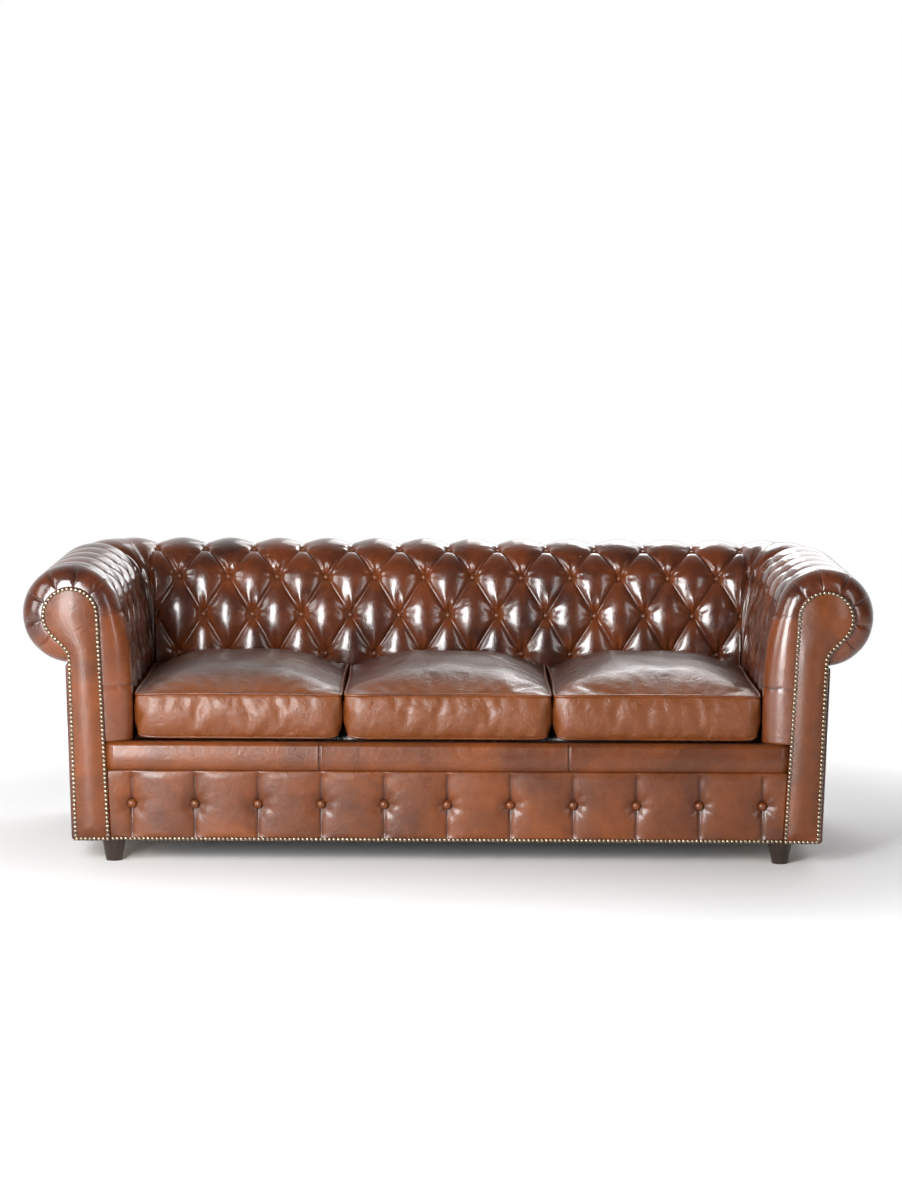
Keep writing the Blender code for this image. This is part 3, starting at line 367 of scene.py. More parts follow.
def tufts(across, distance):
    """How far the leather is drawn in, and how hollow it is from 0 to 1, at places on a pad."""
    row = (distance - FIRST_ROW) / ROW_PITCH
    halves = across / (BUTTON_PITCH / 2)
    inside = np.clip(row, 0, BUTTON_ROWS - 1)
    one, other = (halves + inside) / 2, (halves - inside) / 2
    pillow = np.abs(np.sin(math.pi * one) * np.sin(math.pi * other)) ** PILLOW_ROUND
    beside, above = one - np.round(one), other - np.round(other)
    to_fold = np.minimum(np.abs(beside), np.abs(above)) * FOLD_PITCH
    crease = np.exp(-to_fold / CREASE_WIDTH)
    past = row - inside
    near = beside ** 2 + above ** 2 + past ** 2
    fade = ease(np.minimum(distance, SURFACE_LENGTH - distance) / PAD_END_FADE)
    radius = np.sqrt(near) * BUTTON_PITCH
    angle = np.arctan2((beside - above) * ROW_PITCH, (beside + above) * BUTTON_PITCH / 2 + 1e-9)
    fan = np.sin(FAN_FOLDS * angle + 3 * np.round(one) + 5 * np.round(other)) * (1 + np.sin(angle)) / 2
    wrinkle = FAN_DEPTH * fan * ease(radius / FAN_START) * np.exp(-(radius / FAN_REACH) ** 2)
    pulled = np.exp(-(radius / BUTTON_REACH) ** 2)
    depth = SWELL_DEPTH * (1 - pillow) + CREASE_DEPTH * crease + BUTTON_DEPTH * pulled + wrinkle
    # rubbed tan in a ring round each button, less a painted shade right next to the button
    tone_and_painted_light = RUB * np.exp(-(radius / RUB_REACH) ** 2) - BUTTON_SHADE * np.exp(-(radius / BUTTON_SHADE_REACH) ** 2)
    hollow = np.clip(RUB_CREASE * crease + tone_and_painted_light, 0, 1)
    return depth * fade, hollow * fade


def stations():
    """Distances along the section, with a row of points on every row of buttons."""
    last = FIRST_ROW + (BUTTON_ROWS - 1) * ROW_PITCH
    places = np.concatenate((np.linspace(0, FIRST_ROW, FACE_CELLS, endpoint=False),
                             np.linspace(FIRST_ROW, last, (BUTTON_ROWS - 1) * CELLS, endpoint=False),
                             np.linspace(last, SURFACE_LENGTH, PLEAT_CELLS)))
    return np.sort(np.concatenate((places, pleat_stations())))


def pleat_stations():
    """Distances along the section where the pleats of an arm's nose run, with a point on each side."""
    to_roll = SURFACE_LENGTH - ROLL_RADIUS * math.radians(FACE_JOIN + ROLL_TURN)
    found = []
    for step in range(-NOSE_PLEATS, NOSE_PLEATS):
        angle = 2 * math.pi / NOSE_PLEATS * (step - NOSE_TURN)
        if math.radians(-ROLL_TURN) < angle < math.radians(FACE_JOIN):
            centre = to_roll + ROLL_RADIUS * (math.radians(FACE_JOIN) - angle)
            found += [centre - PLEAT_SIDE, centre, centre + PLEAT_SIDE]
    return np.array(found)


STATIONS = stations()
print("points round the section:", len(STATIONS))

# %% [markdown]
# A pad as a row of rings
#
# Each pad is lofted: rings of points stand along it, and neighbours are joined by faces. A ring follows the
# tufted section and then closes through the slot that the timber board stands in. At the front of an arm the
# rings shrink to the edge of the facing, which rounds the nose and gathers it in pleats. At the corner of arm
# and back they swing round about the inside corner, to the mitre where the two pads meet.

# %% Loft the pads
BOARD_INSET, BOARD_THICK, BOARD_DROP = 0.048, 0.022, 0.022
PANEL_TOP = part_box("back_outer_panel")[1][2]
HEAD_RADIUS = 0.0745                # round head of the keyhole facing
NOSE_DEPTH = 0.050
NOSE_FOLD, NOSE_FOLD_WIDTH = 0.013, 0.026   # the width is an angle
NOSE_SWELL = 0.35                   # share of a fold's depth that is a broad swell
NOSE_LOW, NOSE_HIGH = -1.35, 2.9    # angles on the roll between which it is gathered
NOSE_STARTS, NOSE_ENDS = 0.3, 0.2   # angles over which that comes and goes
NOSE_FADE = 0.030                   # length over which the buttoning starts behind the nose
BAND_DEPTH = 0.085                  # plain band of paler leather behind the facing
BAND_FADE = 0.012                   # length over which the band ends
BAND_INNER, BAND_UNDER = 0.45, 0.5  # how pale it is on the padded face and under the roll
INNER_TOP, INNER_FADE = ROLL_Z + 0.02, 0.03
UNDER_TOP, UNDER_FADE = ROLL_Z - 0.05, 0.06
BAND_SEAMS = (0.464, 0.652)         # heights of the seams across that band
SEAM_DEPTH, SEAM_WIDTH = 0.0025, 0.0022
ARM_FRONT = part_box("left_arm_board")[0][1]
CORNER_FILLET = 0.006               # radius of the padded face in the inside corner
CORNER_TURN = PAD_DEPTH + CORNER_FILLET     # roll centre to the point that a corner turns about
CORNER_LOW = ROLL_Z - 0.087         # height where the roll starts to square off at a corner
CORNER_SQUARE = 0.5                 # how square its lowest edge gets, where 1 is a sharp mitre
NOSE_STEPS, CORNER_STEPS = 14, 18
ARM_OFFSET = ARM_FRONT + NOSE_DEPTH + BUTTON_PITCH / 2      # place of a button along an arm
BACK_OFFSET = BUTTON_PITCH / 2      # and along the back
SIDES = ((-1, "left"), (1, "right"))


def board_slot():
    """Section corners of the slot that a timber board stands in."""
    top = ROLL_Z - BOARD_DROP + GAP
    inner, outer = -BOARD_INSET - GAP, -BOARD_INSET + BOARD_THICK + GAP
    return np.array(((outer, PANEL_TOP + GAP), (outer, top), (inner, top), (inner, PAD_BOTTOM)))


def facing_edge(points):
    """Where the leather of the nose meets the facing."""
    radius = HEAD_RADIUS + GAP
    away = points - (0, ROLL_Z)
    edge = np.array((0, ROLL_Z)) + radius * away / np.linalg.norm(away, axis=1, keepdims=True)
    face = (points[:, 0] < 0) & (points[:, 1] < ROLL_Z)
    edge[face] = np.stack((np.full(face.sum(), -radius), points[face, 1]), axis=1)
    return edge


def nose_folds(points, front):
    """Depth of the pleats that gather the leather round the front of a roll."""
    angle = np.arctan2(points[:, 1] - ROLL_Z, points[:, 0])
    on_roll = ease((angle - NOSE_LOW) / NOSE_STARTS) * ease((NOSE_HIGH - angle) / NOSE_ENDS)
    turns = angle * NOSE_PLEATS / (2 * math.pi) + NOSE_TURN
    aside = np.abs(turns - np.round(turns)) * 2 * math.pi / NOSE_PLEATS
    swell = 1 - np.sqrt(aside * NOSE_PLEATS / math.pi)
    crease = np.exp(-aside / NOSE_FOLD_WIDTH)
    gathered = on_roll * math.sin(math.pi * min(front, 1)) ** 0.5
    return NOSE_FOLD * (NOSE_SWELL * swell + (1 - NOSE_SWELL) * crease) * gathered


def plain_band(points, along):
    """How much of the paler plain band there is at points near the front of an arm, and its seams."""
    reach = ease((ARM_FRONT + BAND_DEPTH - along) / BAND_FADE)
    out, z = points.T
    inner = BAND_INNER * ease((INNER_TOP - z) / INNER_FADE) * (out < 0)
    under = BAND_UNDER * ease((UNDER_TOP - z) / UNDER_FADE) * (out >= 0)
    seams = sum(np.exp(-((z - height) / SEAM_WIDTH) ** 2) for height in BAND_SEAMS)
    return (inner + under) * reach, seams * reach * (out < 0)


def pad_ring(along, offset, strength, front=None):
    """One ring of a pad: points (out, along, z) and how hollow each is."""
    points, normals = on_section(STATIONS)
    depth, hollow = tufts(along - offset, STATIONS)
    depth, hollow = depth * strength, hollow * strength
    if front is not None:
        pale, seams = plain_band(points, along)
        depth = depth + nose_folds(points, front) + SEAM_DEPTH * seams
        hollow = np.clip(hollow + pale * (1 - seams), 0, 1)
    front = front or 0.0
    points = points + (facing_edge(points) - points) * front - normals * depth[:, None]
    ring = np.concatenate((points, board_slot()))
    hollow = np.concatenate((hollow, np.zeros(len(board_slot()))))
    return np.stack((ring[:, 0], np.full(len(ring), along), ring[:, 1]), axis=1), hollow


def mesh_piece(name, points, faces, material, hollow=None):
    """A smooth piece from points and faces, with outward normals."""
    bm = bmesh.new()
    verts = [bm.verts.new(point) for point in points]
    for face in faces:
        bm.faces.new([verts[index] for index in face])
    bm.normal_update()
    bmesh.ops.triangulate(bm, faces=[face for face in bm.faces if len(face.verts) > 4])
    bmesh.ops.recalc_face_normals(bm, faces=bm.faces)
    mesh = bpy.data.meshes.new(name)
    bm.to_mesh(mesh)
    bm.free()
    mesh.shade_smooth()
    if hollow is not None:
        values = mesh.attributes.new("hollow", "FLOAT", "POINT").data
        values.foreach_set("value", np.asarray(hollow, dtype=float))
    piece = bpy.data.objects.new(name, mesh)
    bpy.context.scene.collection.objects.link(piece)
    mesh.materials.append(material)
    return piece


def loft(name, rings, place, material):
    """Skin a row of closed rings and close both ends; place turns a ring's points into the sofa's."""
    count = len(rings[0][0])
    points = np.concatenate([np.stack(place(*ring.T), axis=1) for ring, hollow in rings])
    hollow = np.concatenate([hollow for ring, hollow in rings])
    faces = [tuple(range(count)), tuple(range((len(rings) - 1) * count, len(rings) * count))]
    for row in range(len(rings) - 1):
        for index in range(count):
            turn = (index + 1) % count
            one, other = row * count, (row + 1) * count
            faces.append((one + index, one + turn, other + turn, other + index))
    return mesh_piece(name, points, faces, material, hollow)


def dress(piece, body, slot, *nodes):
    """Let a piece ride on a body and stand for CAD nodes, whose frame pieces it hides; slot is not used."""
    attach(piece, body)
    if nodes:
        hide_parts(*nodes)
    return piece


def on_back(out, along, z, free=False):
    """A place on the back, or a direction there if it is free."""
    return (along, out if free else ROLL_Y + out, z)


def on_arm(side):
    """As on_back, for one arm."""
    def place(out, along, z, free=False):
        return (side * (out if free else ROLL_X + out), along, z)
    return place


def corner_ring(corner, share, offset, sign):
    """A ring of the rounded corner of arm and back, turned part of the way to the mitre."""
    turn = math.pi / 4 * share
    start = corner - CORNER_TURN
    ring, hollow = pad_ring(sign * (start + CORNER_TURN * turn), offset, 1 - share ** 2)
    out, z = ring[:, 0], ring[:, 2]
    straight = CORNER_SQUARE * ease((CORNER_LOW - z) / (CORNER_LOW - PANEL_TOP)) * (out > 0)
    z = np.where(out > 0, np.maximum(z, PANEL_TOP + GAP), z)
    straight[-len(board_slot()):] = 1       # the boards are straight
    reach = (CORNER_TURN + out) * (1 + straight * (1 / math.cos(turn) - 1))
    along = start + reach * math.sin(turn) - GAP * share
    return np.stack((reach * math.cos(turn) - CORNER_TURN, sign * along, z), axis=1), hollow


def corner_rings(corner, offset, sign):
    """Rings from the last square one to the mitre."""
    return [corner_ring(corner, step / CORNER_STEPS, offset, sign) for step in range(CORNER_STEPS + 1)]


def arm_pad(name, side):
    """A buttoned arm: gathered nose at the facing, square run, rounded corner at the back."""
    nose_end = ARM_FRONT + NOSE_DEPTH
    rings = []
    for step in range(NOSE_STEPS):
        turn = math.pi / 2 * step / NOSE_STEPS
        place = ARM_FRONT + NOSE_DEPTH * (1 - math.cos(turn))
        rings.append(pad_ring(place, ARM_OFFSET, 0.0, 1 - math.sin(turn)))
    run = np.arange(nose_end, ROLL_Y - CORNER_TURN - CELL / 2, CELL)
    plain_end = ARM_FRONT + BAND_DEPTH
    rings += [pad_ring(place, ARM_OFFSET, ease((place - nose_end) / NOSE_FADE),
                       0.0 if place < plain_end else None) for place in run]
    rings += corner_rings(ROLL_Y, ARM_OFFSET, 1)
    return loft(name, rings, on_arm(side), DARK_LEATHER)


def back_pad():
    """The buttoned back, which turns into the arms at both ends."""
    cells = int((ROLL_X - CORNER_TURN) / CELL - 0.5)
    run = np.arange(-cells, cells + 1) * CELL
    rings = corner_rings(ROLL_X, BACK_OFFSET, -1)[::-1]
    rings += [pad_ring(place, BACK_OFFSET, 1.0) for place in run]
    rings += corner_rings(ROLL_X, BACK_OFFSET, 1)
    return loft("buttoned_back", rings, on_back, DARK_LEATHER)


for side, label in SIDES:
    pad = dress(arm_pad(f"{label}_buttoned_arm", side), "sofa_frame", "dark_leather", f"{label}_arm_pad")
pad = dress(back_pad(), "sofa_frame", "dark_leather", "back_pad")
print("faces of the back:", len(pad.data.polygons))

# %% [markdown]
# Facings
#
# The front of each arm is closed by a keyhole-shaped board, lightly padded and covered. Its outline is a
# round head, a soft neck and a stem that leans in towards the floor. Rings drawn between that outline and a
# line down its middle, each further forward, make the board swell from its nailed edge like a long pillow.

# %% Make the facings
STEM_INNER, STEM_OUTER = 0.102, 0.007       # edges of the stem, in and out from the roll's centre
PANEL_TAPER = 0.014
NECK_END = 1.6                      # where the neck has run into the stem, in head radii below the centre
BASE_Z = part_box("left_facing")[0][2]
FACING_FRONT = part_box("left_facing")[0][1]
FACING_SWELL = 0.013
STEM_HALF = 0.042                   # half the width of the stem
FACING_RINGS = (0.0, 0.03, 0.08, 0.15, 0.24, 0.34, 0.45, 0.57, 0.70, 0.83, 0.95)    # shares of the way in
NECK_TURN = -30                     # degrees where the head runs into the neck
NECK_PULLS = (0.50, 0.55)           # how far the neck runs straight on at both ends, in head radii
FACING_SET_BACK = 0.002             # of the nailed edge, behind the frame's facing


def arc(centre, radius, start, end, steps):
    """Points on an arc, in degrees."""
    turn = np.radians(np.linspace(start, end, steps + 1))
    return np.stack((centre[0] + radius * np.cos(turn), centre[1] + radius * np.sin(turn)), axis=1)


def bezier(start, first, second, end, steps):
    """Points on a curve, without its start."""
    return cubic(np.linspace(0, 1, steps + 1)[1:, None], start, first, second, end)


def keyhole(inset):
    """Outline (out, z) of a facing, moved inwards by inset."""
    radius = HEAD_RADIUS - inset
    stem, foot = STEM_OUTER - inset, BASE_Z + inset
    head = arc((0, ROLL_Z), radius, 180, NECK_TURN, 44)
    down = math.radians(NECK_TURN)
    first = head[-1] + NECK_PULLS[0] * HEAD_RADIUS * np.array((math.sin(down), -math.cos(down)))
    neck_end = np.array((stem, ROLL_Z - NECK_END * HEAD_RADIUS))
    neck = bezier(head[-1], first, neck_end + (0, NECK_PULLS[1] * HEAD_RADIUS), neck_end, 16)
    outer = np.linspace(neck_end, (stem - PANEL_TAPER, foot), 24)[1:]
    bottom = np.linspace(outer[-1], (-STEM_INNER + inset, foot), 6)[1:]
    inner = np.linspace(bottom[-1], head[0], 28)[1:-1]
    return np.concatenate((head, neck, outer, bottom, inner))


def middle_line(outline):
    """The nearest point on the board's middle line for each point of its outline."""
    neck_z = ROLL_Z - NECK_END * HEAD_RADIUS
    z = np.clip(outline[:, 1], BASE_Z + STEM_HALF, ROLL_Z)
    foot_out = (STEM_OUTER - PANEL_TAPER - STEM_INNER) / 2
    neck_out = (STEM_OUTER - HEAD_RADIUS) / 2
    out = np.interp(z, (BASE_Z, neck_z), (foot_out, neck_out))
    out = out - neck_out * ease((z - neck_z) / (ROLL_Z - neck_z))
    return np.stack((out, z), axis=1)


def facing_surface(share):
    """How far forward the padded board has swelled, part of the way in from its edge."""
    return FACING_FRONT + FACING_SET_BACK - FACING_SWELL * math.sin(math.pi / 2 * share) ** 0.8


def facing(name, side):
    """A padded keyhole board."""
    outline = keyhole(0.0)
    inwards = middle_line(outline) - outline
    levels = [(0.0, ARM_FRONT - GAP)] + [(share, facing_surface(share)) for share in FACING_RINGS]
    rings = []
    for share, y in levels:
        out, z = (outline + share * inwards).T
        rings.append((np.stack((out, np.full(len(out), y), z), axis=1), np.zeros(len(out))))
    return loft(name, rings, on_arm(side), TAN_LEATHER)


for side, label in SIDES:
    board = dress(facing(f"{label}_padded_facing", side), "sofa_frame", "tan_leather", f"{label}_facing")
print("points in a facing:", len(board.data.vertices))

# %% [markdown]
# Dome nails
#
# Rows of small brass domes hold the edges down. One nail is modelled: the top half of a flattened ball. It is
# then copied along each outline at an even pitch, as near to the real spacing as the length allows.

# %% Drive the nails
NAIL_PITCH = 0.0115
NAIL_RADIUS, NAIL_HEIGHT = 0.0054, 0.0034
NAIL_INSET = 0.0055                 # from the edge of the leather to the middle of a nail
NAIL_SET_BACK = 0.001               # of the front row, behind the front of the border
DOME_RIM = 0.05                     # share of a ball's radius that a dome keeps below its middle


def select_only(*objects):
    """Deselect everything, then select these and make the first one active."""
    bpy.ops.object.select_all(action="DESELECT")
    for item in objects:
        item.select_set(True)
    bpy.context.view_layer.objects.active = objects[0]


def brass(name):
    """Old brass, tarnished brown in patches."""
    material, tree, shader, place = new_material(name)
    tarnish = spread(tree, noise(tree, place, 160.0, 4.0), 0.35, 0.7)
    colour = mix_colour(tree, tarnish, (0.40, 0.335, 0.245), (0.13, 0.100, 0.070))
    feed(tree, shader, {"Base Color": colour, "Metallic": 1.0,
                        "Roughness": spread(tree, tarnish, 0, 1, 0.30, 0.45)})
    return material


def dome(name, radius, height, sides, rings, material):
    """The upper half of a flattened ball, closed below, standing on the origin."""
    bpy.ops.object.select_all(action="DESELECT")
    bpy.ops.mesh.primitive_uv_sphere_add(segments=sides, ring_count=2 * rings, radius=radius)
    item = bpy.context.object
    item.name = name
    bpy.ops.object.mode_set(mode="EDIT")
    bpy.ops.mesh.select_all(action="SELECT")
    bpy.ops.mesh.bisect(plane_co=(0, 0, -radius * DOME_RIM), plane_no=(0, 0, 1), use_fill=True,
                        clear_inner=True)
    bpy.ops.mesh.select_all(action="SELECT")
    bpy.ops.transform.resize(value=(1, 1, height / radius))
    bpy.ops.mesh.normals_make_consistent(inside=False)
    bpy.ops.object.mode_set(mode="OBJECT")
    bpy.ops.object.shade_smooth_by_angle(angle=math.radians(60))
    item.data.materials.append(material)
    return item


def copies(name, pattern, places):
    """One piece made of copies of a pattern; places are (point, outward direction)."""
    made = []
    for point, direction in places:
        item = pattern.copy()
        item.data = pattern.data.copy()
        turn = Vector(direction).to_track_quat("Z", "Y").to_matrix().to_4x4()
        item.data.transform(Matrix.Translation(point) @ turn)
        item.matrix_world = Matrix.Identity(4)
        bpy.context.scene.collection.objects.link(item)
        made.append(item)
    select_only(*made)
    bpy.ops.object.join()
    made[0].name = name
    return made[0]


def even_places(outline, pitch, closed=True):
    """Points at an even pitch along an outline."""
    line = np.concatenate((outline, outline[:1])) if closed else np.asarray(outline)
    reach = np.concatenate(([0.0], np.cumsum(np.linalg.norm(np.diff(line, axis=0), axis=1))))
    count = round(reach[-1] / pitch)
    where = np.arange(count + (0 if closed else 1)) * reach[-1] / count
    return np.stack([np.interp(where, reach, line[:, axis]) for axis in (0, 1)], axis=1)


NAIL_BRASS = brass("antique_brass")
nail = dome("nail", NAIL_RADIUS, NAIL_HEIGHT, 10, 3, NAIL_BRASS)
FORWARD = (0, -1, 0)
BORDER_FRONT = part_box("front_border")[0][1]
BORDER_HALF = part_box("front_border")[1][0]
for side, label in SIDES:
    line = even_places(keyhole(NAIL_INSET), NAIL_PITCH)
    surface = facing_surface(NAIL_INSET / STEM_HALF) + GAP
    places = [(on_arm(side)(out, surface, z), FORWARD) for out, z in line]
    row = copies(f"{label}_facing_nails", nail, places)
    dress(row, "sofa_frame", "antique_brass", f"{label}_nail_strip")
last = BORDER_HALF - NAIL_PITCH / 2
ends = np.array(((-last, BASE_Z + NAIL_INSET), (last, BASE_Z + NAIL_INSET)))
row = copies("front_nails", nail, [((x, BORDER_FRONT + NAIL_SET_BACK, z), FORWARD)
                                   for x, z in even_places(ends, NAIL_PITCH, closed=False)])
dress(row, "sofa_frame", "antique_brass", "front_nail_strip")
bpy.data.objects.remove(nail)
print("faces of the front nails:", len(row.data.polygons))

# %% [markdown]
# Front borders
#
# Below the cushions runs a plain padded rail with two upright seams, and below that a panel with one row of
# buttons. A pleat runs up and down from each button. The plain rail is one section drawn along the sofa,
# pulled in a little at its seams, and its leather laps over the timber behind it. The buttoned panel is a
# fine grid whose depth is again a formula.

# %% Make the borders
SEAT_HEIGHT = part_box("seat_border")[1][2]
BORDER_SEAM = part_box("seat_border")[0][2]
BORDER_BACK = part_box("seat_border")[1][1]
RAIL_SEAMS = (-0.332, 0.316)
RAIL_SEAM_DEPTH, RAIL_SEAM_WIDTH = 0.0035, 0.0022
RAIL_LIP, RAIL_LIP_WIDTH = 0.0008, 0.008    # slight rise of the leather on both sides of a seam
RAIL_SEAM_DARK, RAIL_SEAM_STAIN = 0.8, 0.003    # how dark a seam is, and how far to each side
RAIL_SEAM_REACH = 0.012             # length on both sides of a seam with a finer mesh
RAIL_ROUND, RAIL_SWELL = 0.015, 0.003
RAIL_FOOT = ((0.005, 0.0), (0.0015, 0.004))     # points of its lower edge, back and up
FLAP_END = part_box("front_rail")[1][1] - 0.002      # the leather stops short of the timber's rear edge
FLAP_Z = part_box("front_rail")[1][2] + 0.0001       # and lies just over it
FLAP_THICK = 0.0005
BORDER_BUTTONS = 11
BORDER_END = 0.055                  # end buttons in from the facings
BORDER_PITCH = 2 * (BORDER_HALF - BORDER_END) / (BORDER_BUTTONS - 1)
BUTTON_HEIGHT = 0.52                # share of the panel's height where the buttons stand
BORDER_PLEAT, BORDER_PLEAT_WIDTH, BORDER_PLEAT_START = 0.0028, 0.0035, 0.01
PAINTED_PLEAT_SHADE, PAINTED_HOLLOW_SHADE = 0.8, 0.6  # painted shade: how dark the pleats and the hollows of the buttons are painted
BORDER_HOLLOW, BORDER_HOLLOW_REACH = 0.0080, 0.024
BORDER_VALLEY, BORDER_VALLEY_REACH = 0.0085, 0.028
BORDER_FAN, BORDER_FAN_FOLDS = 0.0016, 7    # small folds round a button
BORDER_FAN_START, BORDER_FAN_REACH = 0.012, 0.032
BORDER_EDGE, BORDER_EDGE_DEPTH = 0.10, 0.004    # share of the height that turns in, and how far
BORDER_COLUMNS, BORDER_ROWS = 441, 33


def to_facing(x, z):
    """Move a place near the end of a border to follow the slanting edge of the facing."""
    share = (z - BASE_Z) / (ROLL_Z - BASE_Z)
    reach = ROLL_X - STEM_INNER + (STEM_INNER - HEAD_RADIUS) * share - GAP
    last_button = BORDER_HALF - BORDER_END
    return x + np.sign(x) * (reach - BORDER_HALF) * ease((np.abs(x) - last_button) / BORDER_END)


def rail_section(draw_in):
    """Closed section (y, z) of the plain rail."""
    front, low, high = BORDER_FRONT + draw_in, BORDER_SEAM + GAP, SEAT_HEIGHT
    top = arc((front + RAIL_ROUND, high - RAIL_ROUND), RAIL_ROUND, 180, 90, 8)
    face = [(front + back, low + up) for back, up in RAIL_FOOT]
    for share in np.linspace(0.15, 0.85, 8):
        face.append((front - RAIL_SWELL * math.sin(math.pi * share), low + share * (high - RAIL_ROUND - low)))
    back = [(BORDER_BACK, high), (FLAP_END, FLAP_Z + FLAP_THICK), (FLAP_END, FLAP_Z),
            (BORDER_BACK + GAP, FLAP_Z), (BORDER_BACK, FLAP_Z - GAP), (BORDER_BACK, low)]
    return np.array(face + [tuple(point) for point in top] + back)


def plain_rail():
    """The padded rail under the cushions."""
    places = np.unique(np.concatenate([np.linspace(-BORDER_HALF, BORDER_HALF, 90)] + [
        seam + np.linspace(-RAIL_SEAM_REACH, RAIL_SEAM_REACH, 13) for seam in RAIL_SEAMS]))
    rings = []
    for x in places:
        near = min(abs(x - seam) for seam in RAIL_SEAMS)
        section = rail_section(RAIL_SEAM_DEPTH * math.exp(-(near / RAIL_SEAM_WIDTH) ** 2)
                               - RAIL_LIP * math.exp(-(near / RAIL_LIP_WIDTH) ** 2))
        along = to_facing(np.full(len(section), x), section[:, 1])
        rings.append((np.stack((section[:, 0], along, section[:, 1]), axis=1),
                      np.full(len(section), RAIL_SEAM_DARK * math.exp(-(near / RAIL_SEAM_STAIN) ** 2))))

    def place(y, x, z):
        return (x, y, z)

    return loft("plain_rail", rings, place, TAN_LEATHER)


def border_depth(x, share):
    """How far the buttoned panel is drawn in, and how much painted shade darkens its pleats and button
    hollows.
    """
    pitches = x / BORDER_PITCH + (BORDER_BUTTONS - 1) / 2
    nearest = np.clip(np.round(pitches), 0, BORDER_BUTTONS - 1)
    aside = (pitches - nearest) * BORDER_PITCH
    up = (share - BUTTON_HEIGHT) * (BORDER_SEAM - BASE_Z)
    radius = np.hypot(aside, up)
    pleat = np.exp(-(aside / BORDER_PLEAT_WIDTH) ** 2) * ease(np.abs(up) / BORDER_PLEAT_START)
    hollow = np.exp(-(radius / BORDER_HOLLOW_REACH) ** 2)
    valley = np.exp(-np.abs(aside) / BORDER_VALLEY_REACH)
    fan = np.sin(BORDER_FAN_FOLDS * np.arctan2(up, aside) + 2.0 * nearest)
    fan = fan * ease(radius / BORDER_FAN_START) * np.exp(-(radius / BORDER_FAN_REACH) ** 2)
    edge = ease(np.minimum(share, 1 - share) / BORDER_EDGE)
    depth = BORDER_PLEAT * pleat + BORDER_HOLLOW * hollow + BORDER_VALLEY * valley + BORDER_FAN * fan
    # painted shade: the pleats and the hollows round the buttons are painted darker
    drawn = np.clip(PAINTED_PLEAT_SHADE * pleat + PAINTED_HOLLOW_SHADE * hollow, 0, 1)
    return depth * edge + BORDER_EDGE_DEPTH * (1 - edge), drawn * edge


def buttoned_panel():
    """The padded panel with its row of buttons, flat at its back."""
    columns = np.linspace(-BORDER_HALF, BORDER_HALF, BORDER_COLUMNS)
    shares = np.linspace(0, 1, BORDER_ROWS)
    low, high = BASE_Z, BORDER_SEAM - GAP
    points, hollow = [], []
    for x in columns:
        depth, drawn = border_depth(np.full(len(shares), x), shares)
        heights = low + (high - low) * shares
        along = to_facing(np.full(len(shares), x), heights)
        points += list(zip(along, BORDER_FRONT + depth, heights))
        hollow += list(drawn)
    rows = len(shares)
    faces = [(c * rows + r, c * rows + r + 1, (c + 1) * rows + r + 1, (c + 1) * rows + r)
             for c in range(len(columns) - 1) for r in range(rows - 1)]
    last = (len(columns) - 1) * rows
    rim = list(range(rows)) + [c * rows + rows - 1 for c in range(1, len(columns))]
    rim += list(range(last + rows - 2, last - 1, -1)) + [c * rows for c in range(len(columns) - 2, 0, -1)]
    wall = len(points)
    points += [(points[index][0], BORDER_BACK, points[index][2]) for index in rim]
    hollow += [0.0] * len(rim)
    for step in range(len(rim)):
        turn = (step + 1) % len(rim)
        faces.append((rim[step], rim[turn], wall + turn, wall + step))
    faces.append(tuple(range(wall, wall + len(rim))))
    return mesh_piece("buttoned_border", points, faces, TAN_LEATHER, hollow)


for piece, node in ((plain_rail(), "seat_border"), (buttoned_panel(), "front_border")):
    dress(piece, "sofa_frame", "tan_leather", node)
print("button pitch of the border:", round(BORDER_PITCH, 4))

# %% [markdown]
# Buttons
#
# Each button is a small dome covered in the same leather. They sit at the crossings of the lattice on arms
# and back, facing straight out of the padding, and in one row along the front.

# %% Sew on the buttons
BUTTON_SIZE, BORDER_BUTTON_SIZE = (0.0090, 0.0062), (0.0112, 0.0075)    # radius and height
SEATING = 0.0055                    # button's base above the bottom of its hollow
CORNER_BUTTON = 0.007               # how far into a corner the back's last buttons stand
button = dome("button", *BUTTON_SIZE, 18, 5, TAN_LEATHER)
border_button = dome("border_button", *BORDER_BUTTON_SIZE, 18, 5, TAN_LEATHER)


def pad_buttons(reach_low, reach_high, offset, place):
    """Places of the buttons on a pad; place turns (out, along, z) into a point."""
    found = []
    for row in range(BUTTON_ROWS):
        distance = FIRST_ROW + row * ROW_PITCH
        point, normal = on_section(distance)
        depth, hollow = tufts(np.array(row % 2 * BUTTON_PITCH / 2), np.array(distance))
        seat = point - normal * (depth - SEATING)
        first = math.ceil((reach_low - offset) / BUTTON_PITCH * 2)
        last = math.floor((reach_high - offset) / BUTTON_PITCH * 2)
        for half in range(first, last + 1):
            if (half + row) % 2 == 0:
                along = offset + half * BUTTON_PITCH / 2
                found.append((place(seat[0], along, seat[1]), place(normal[0], 0.0, normal[1], True)))
    return found


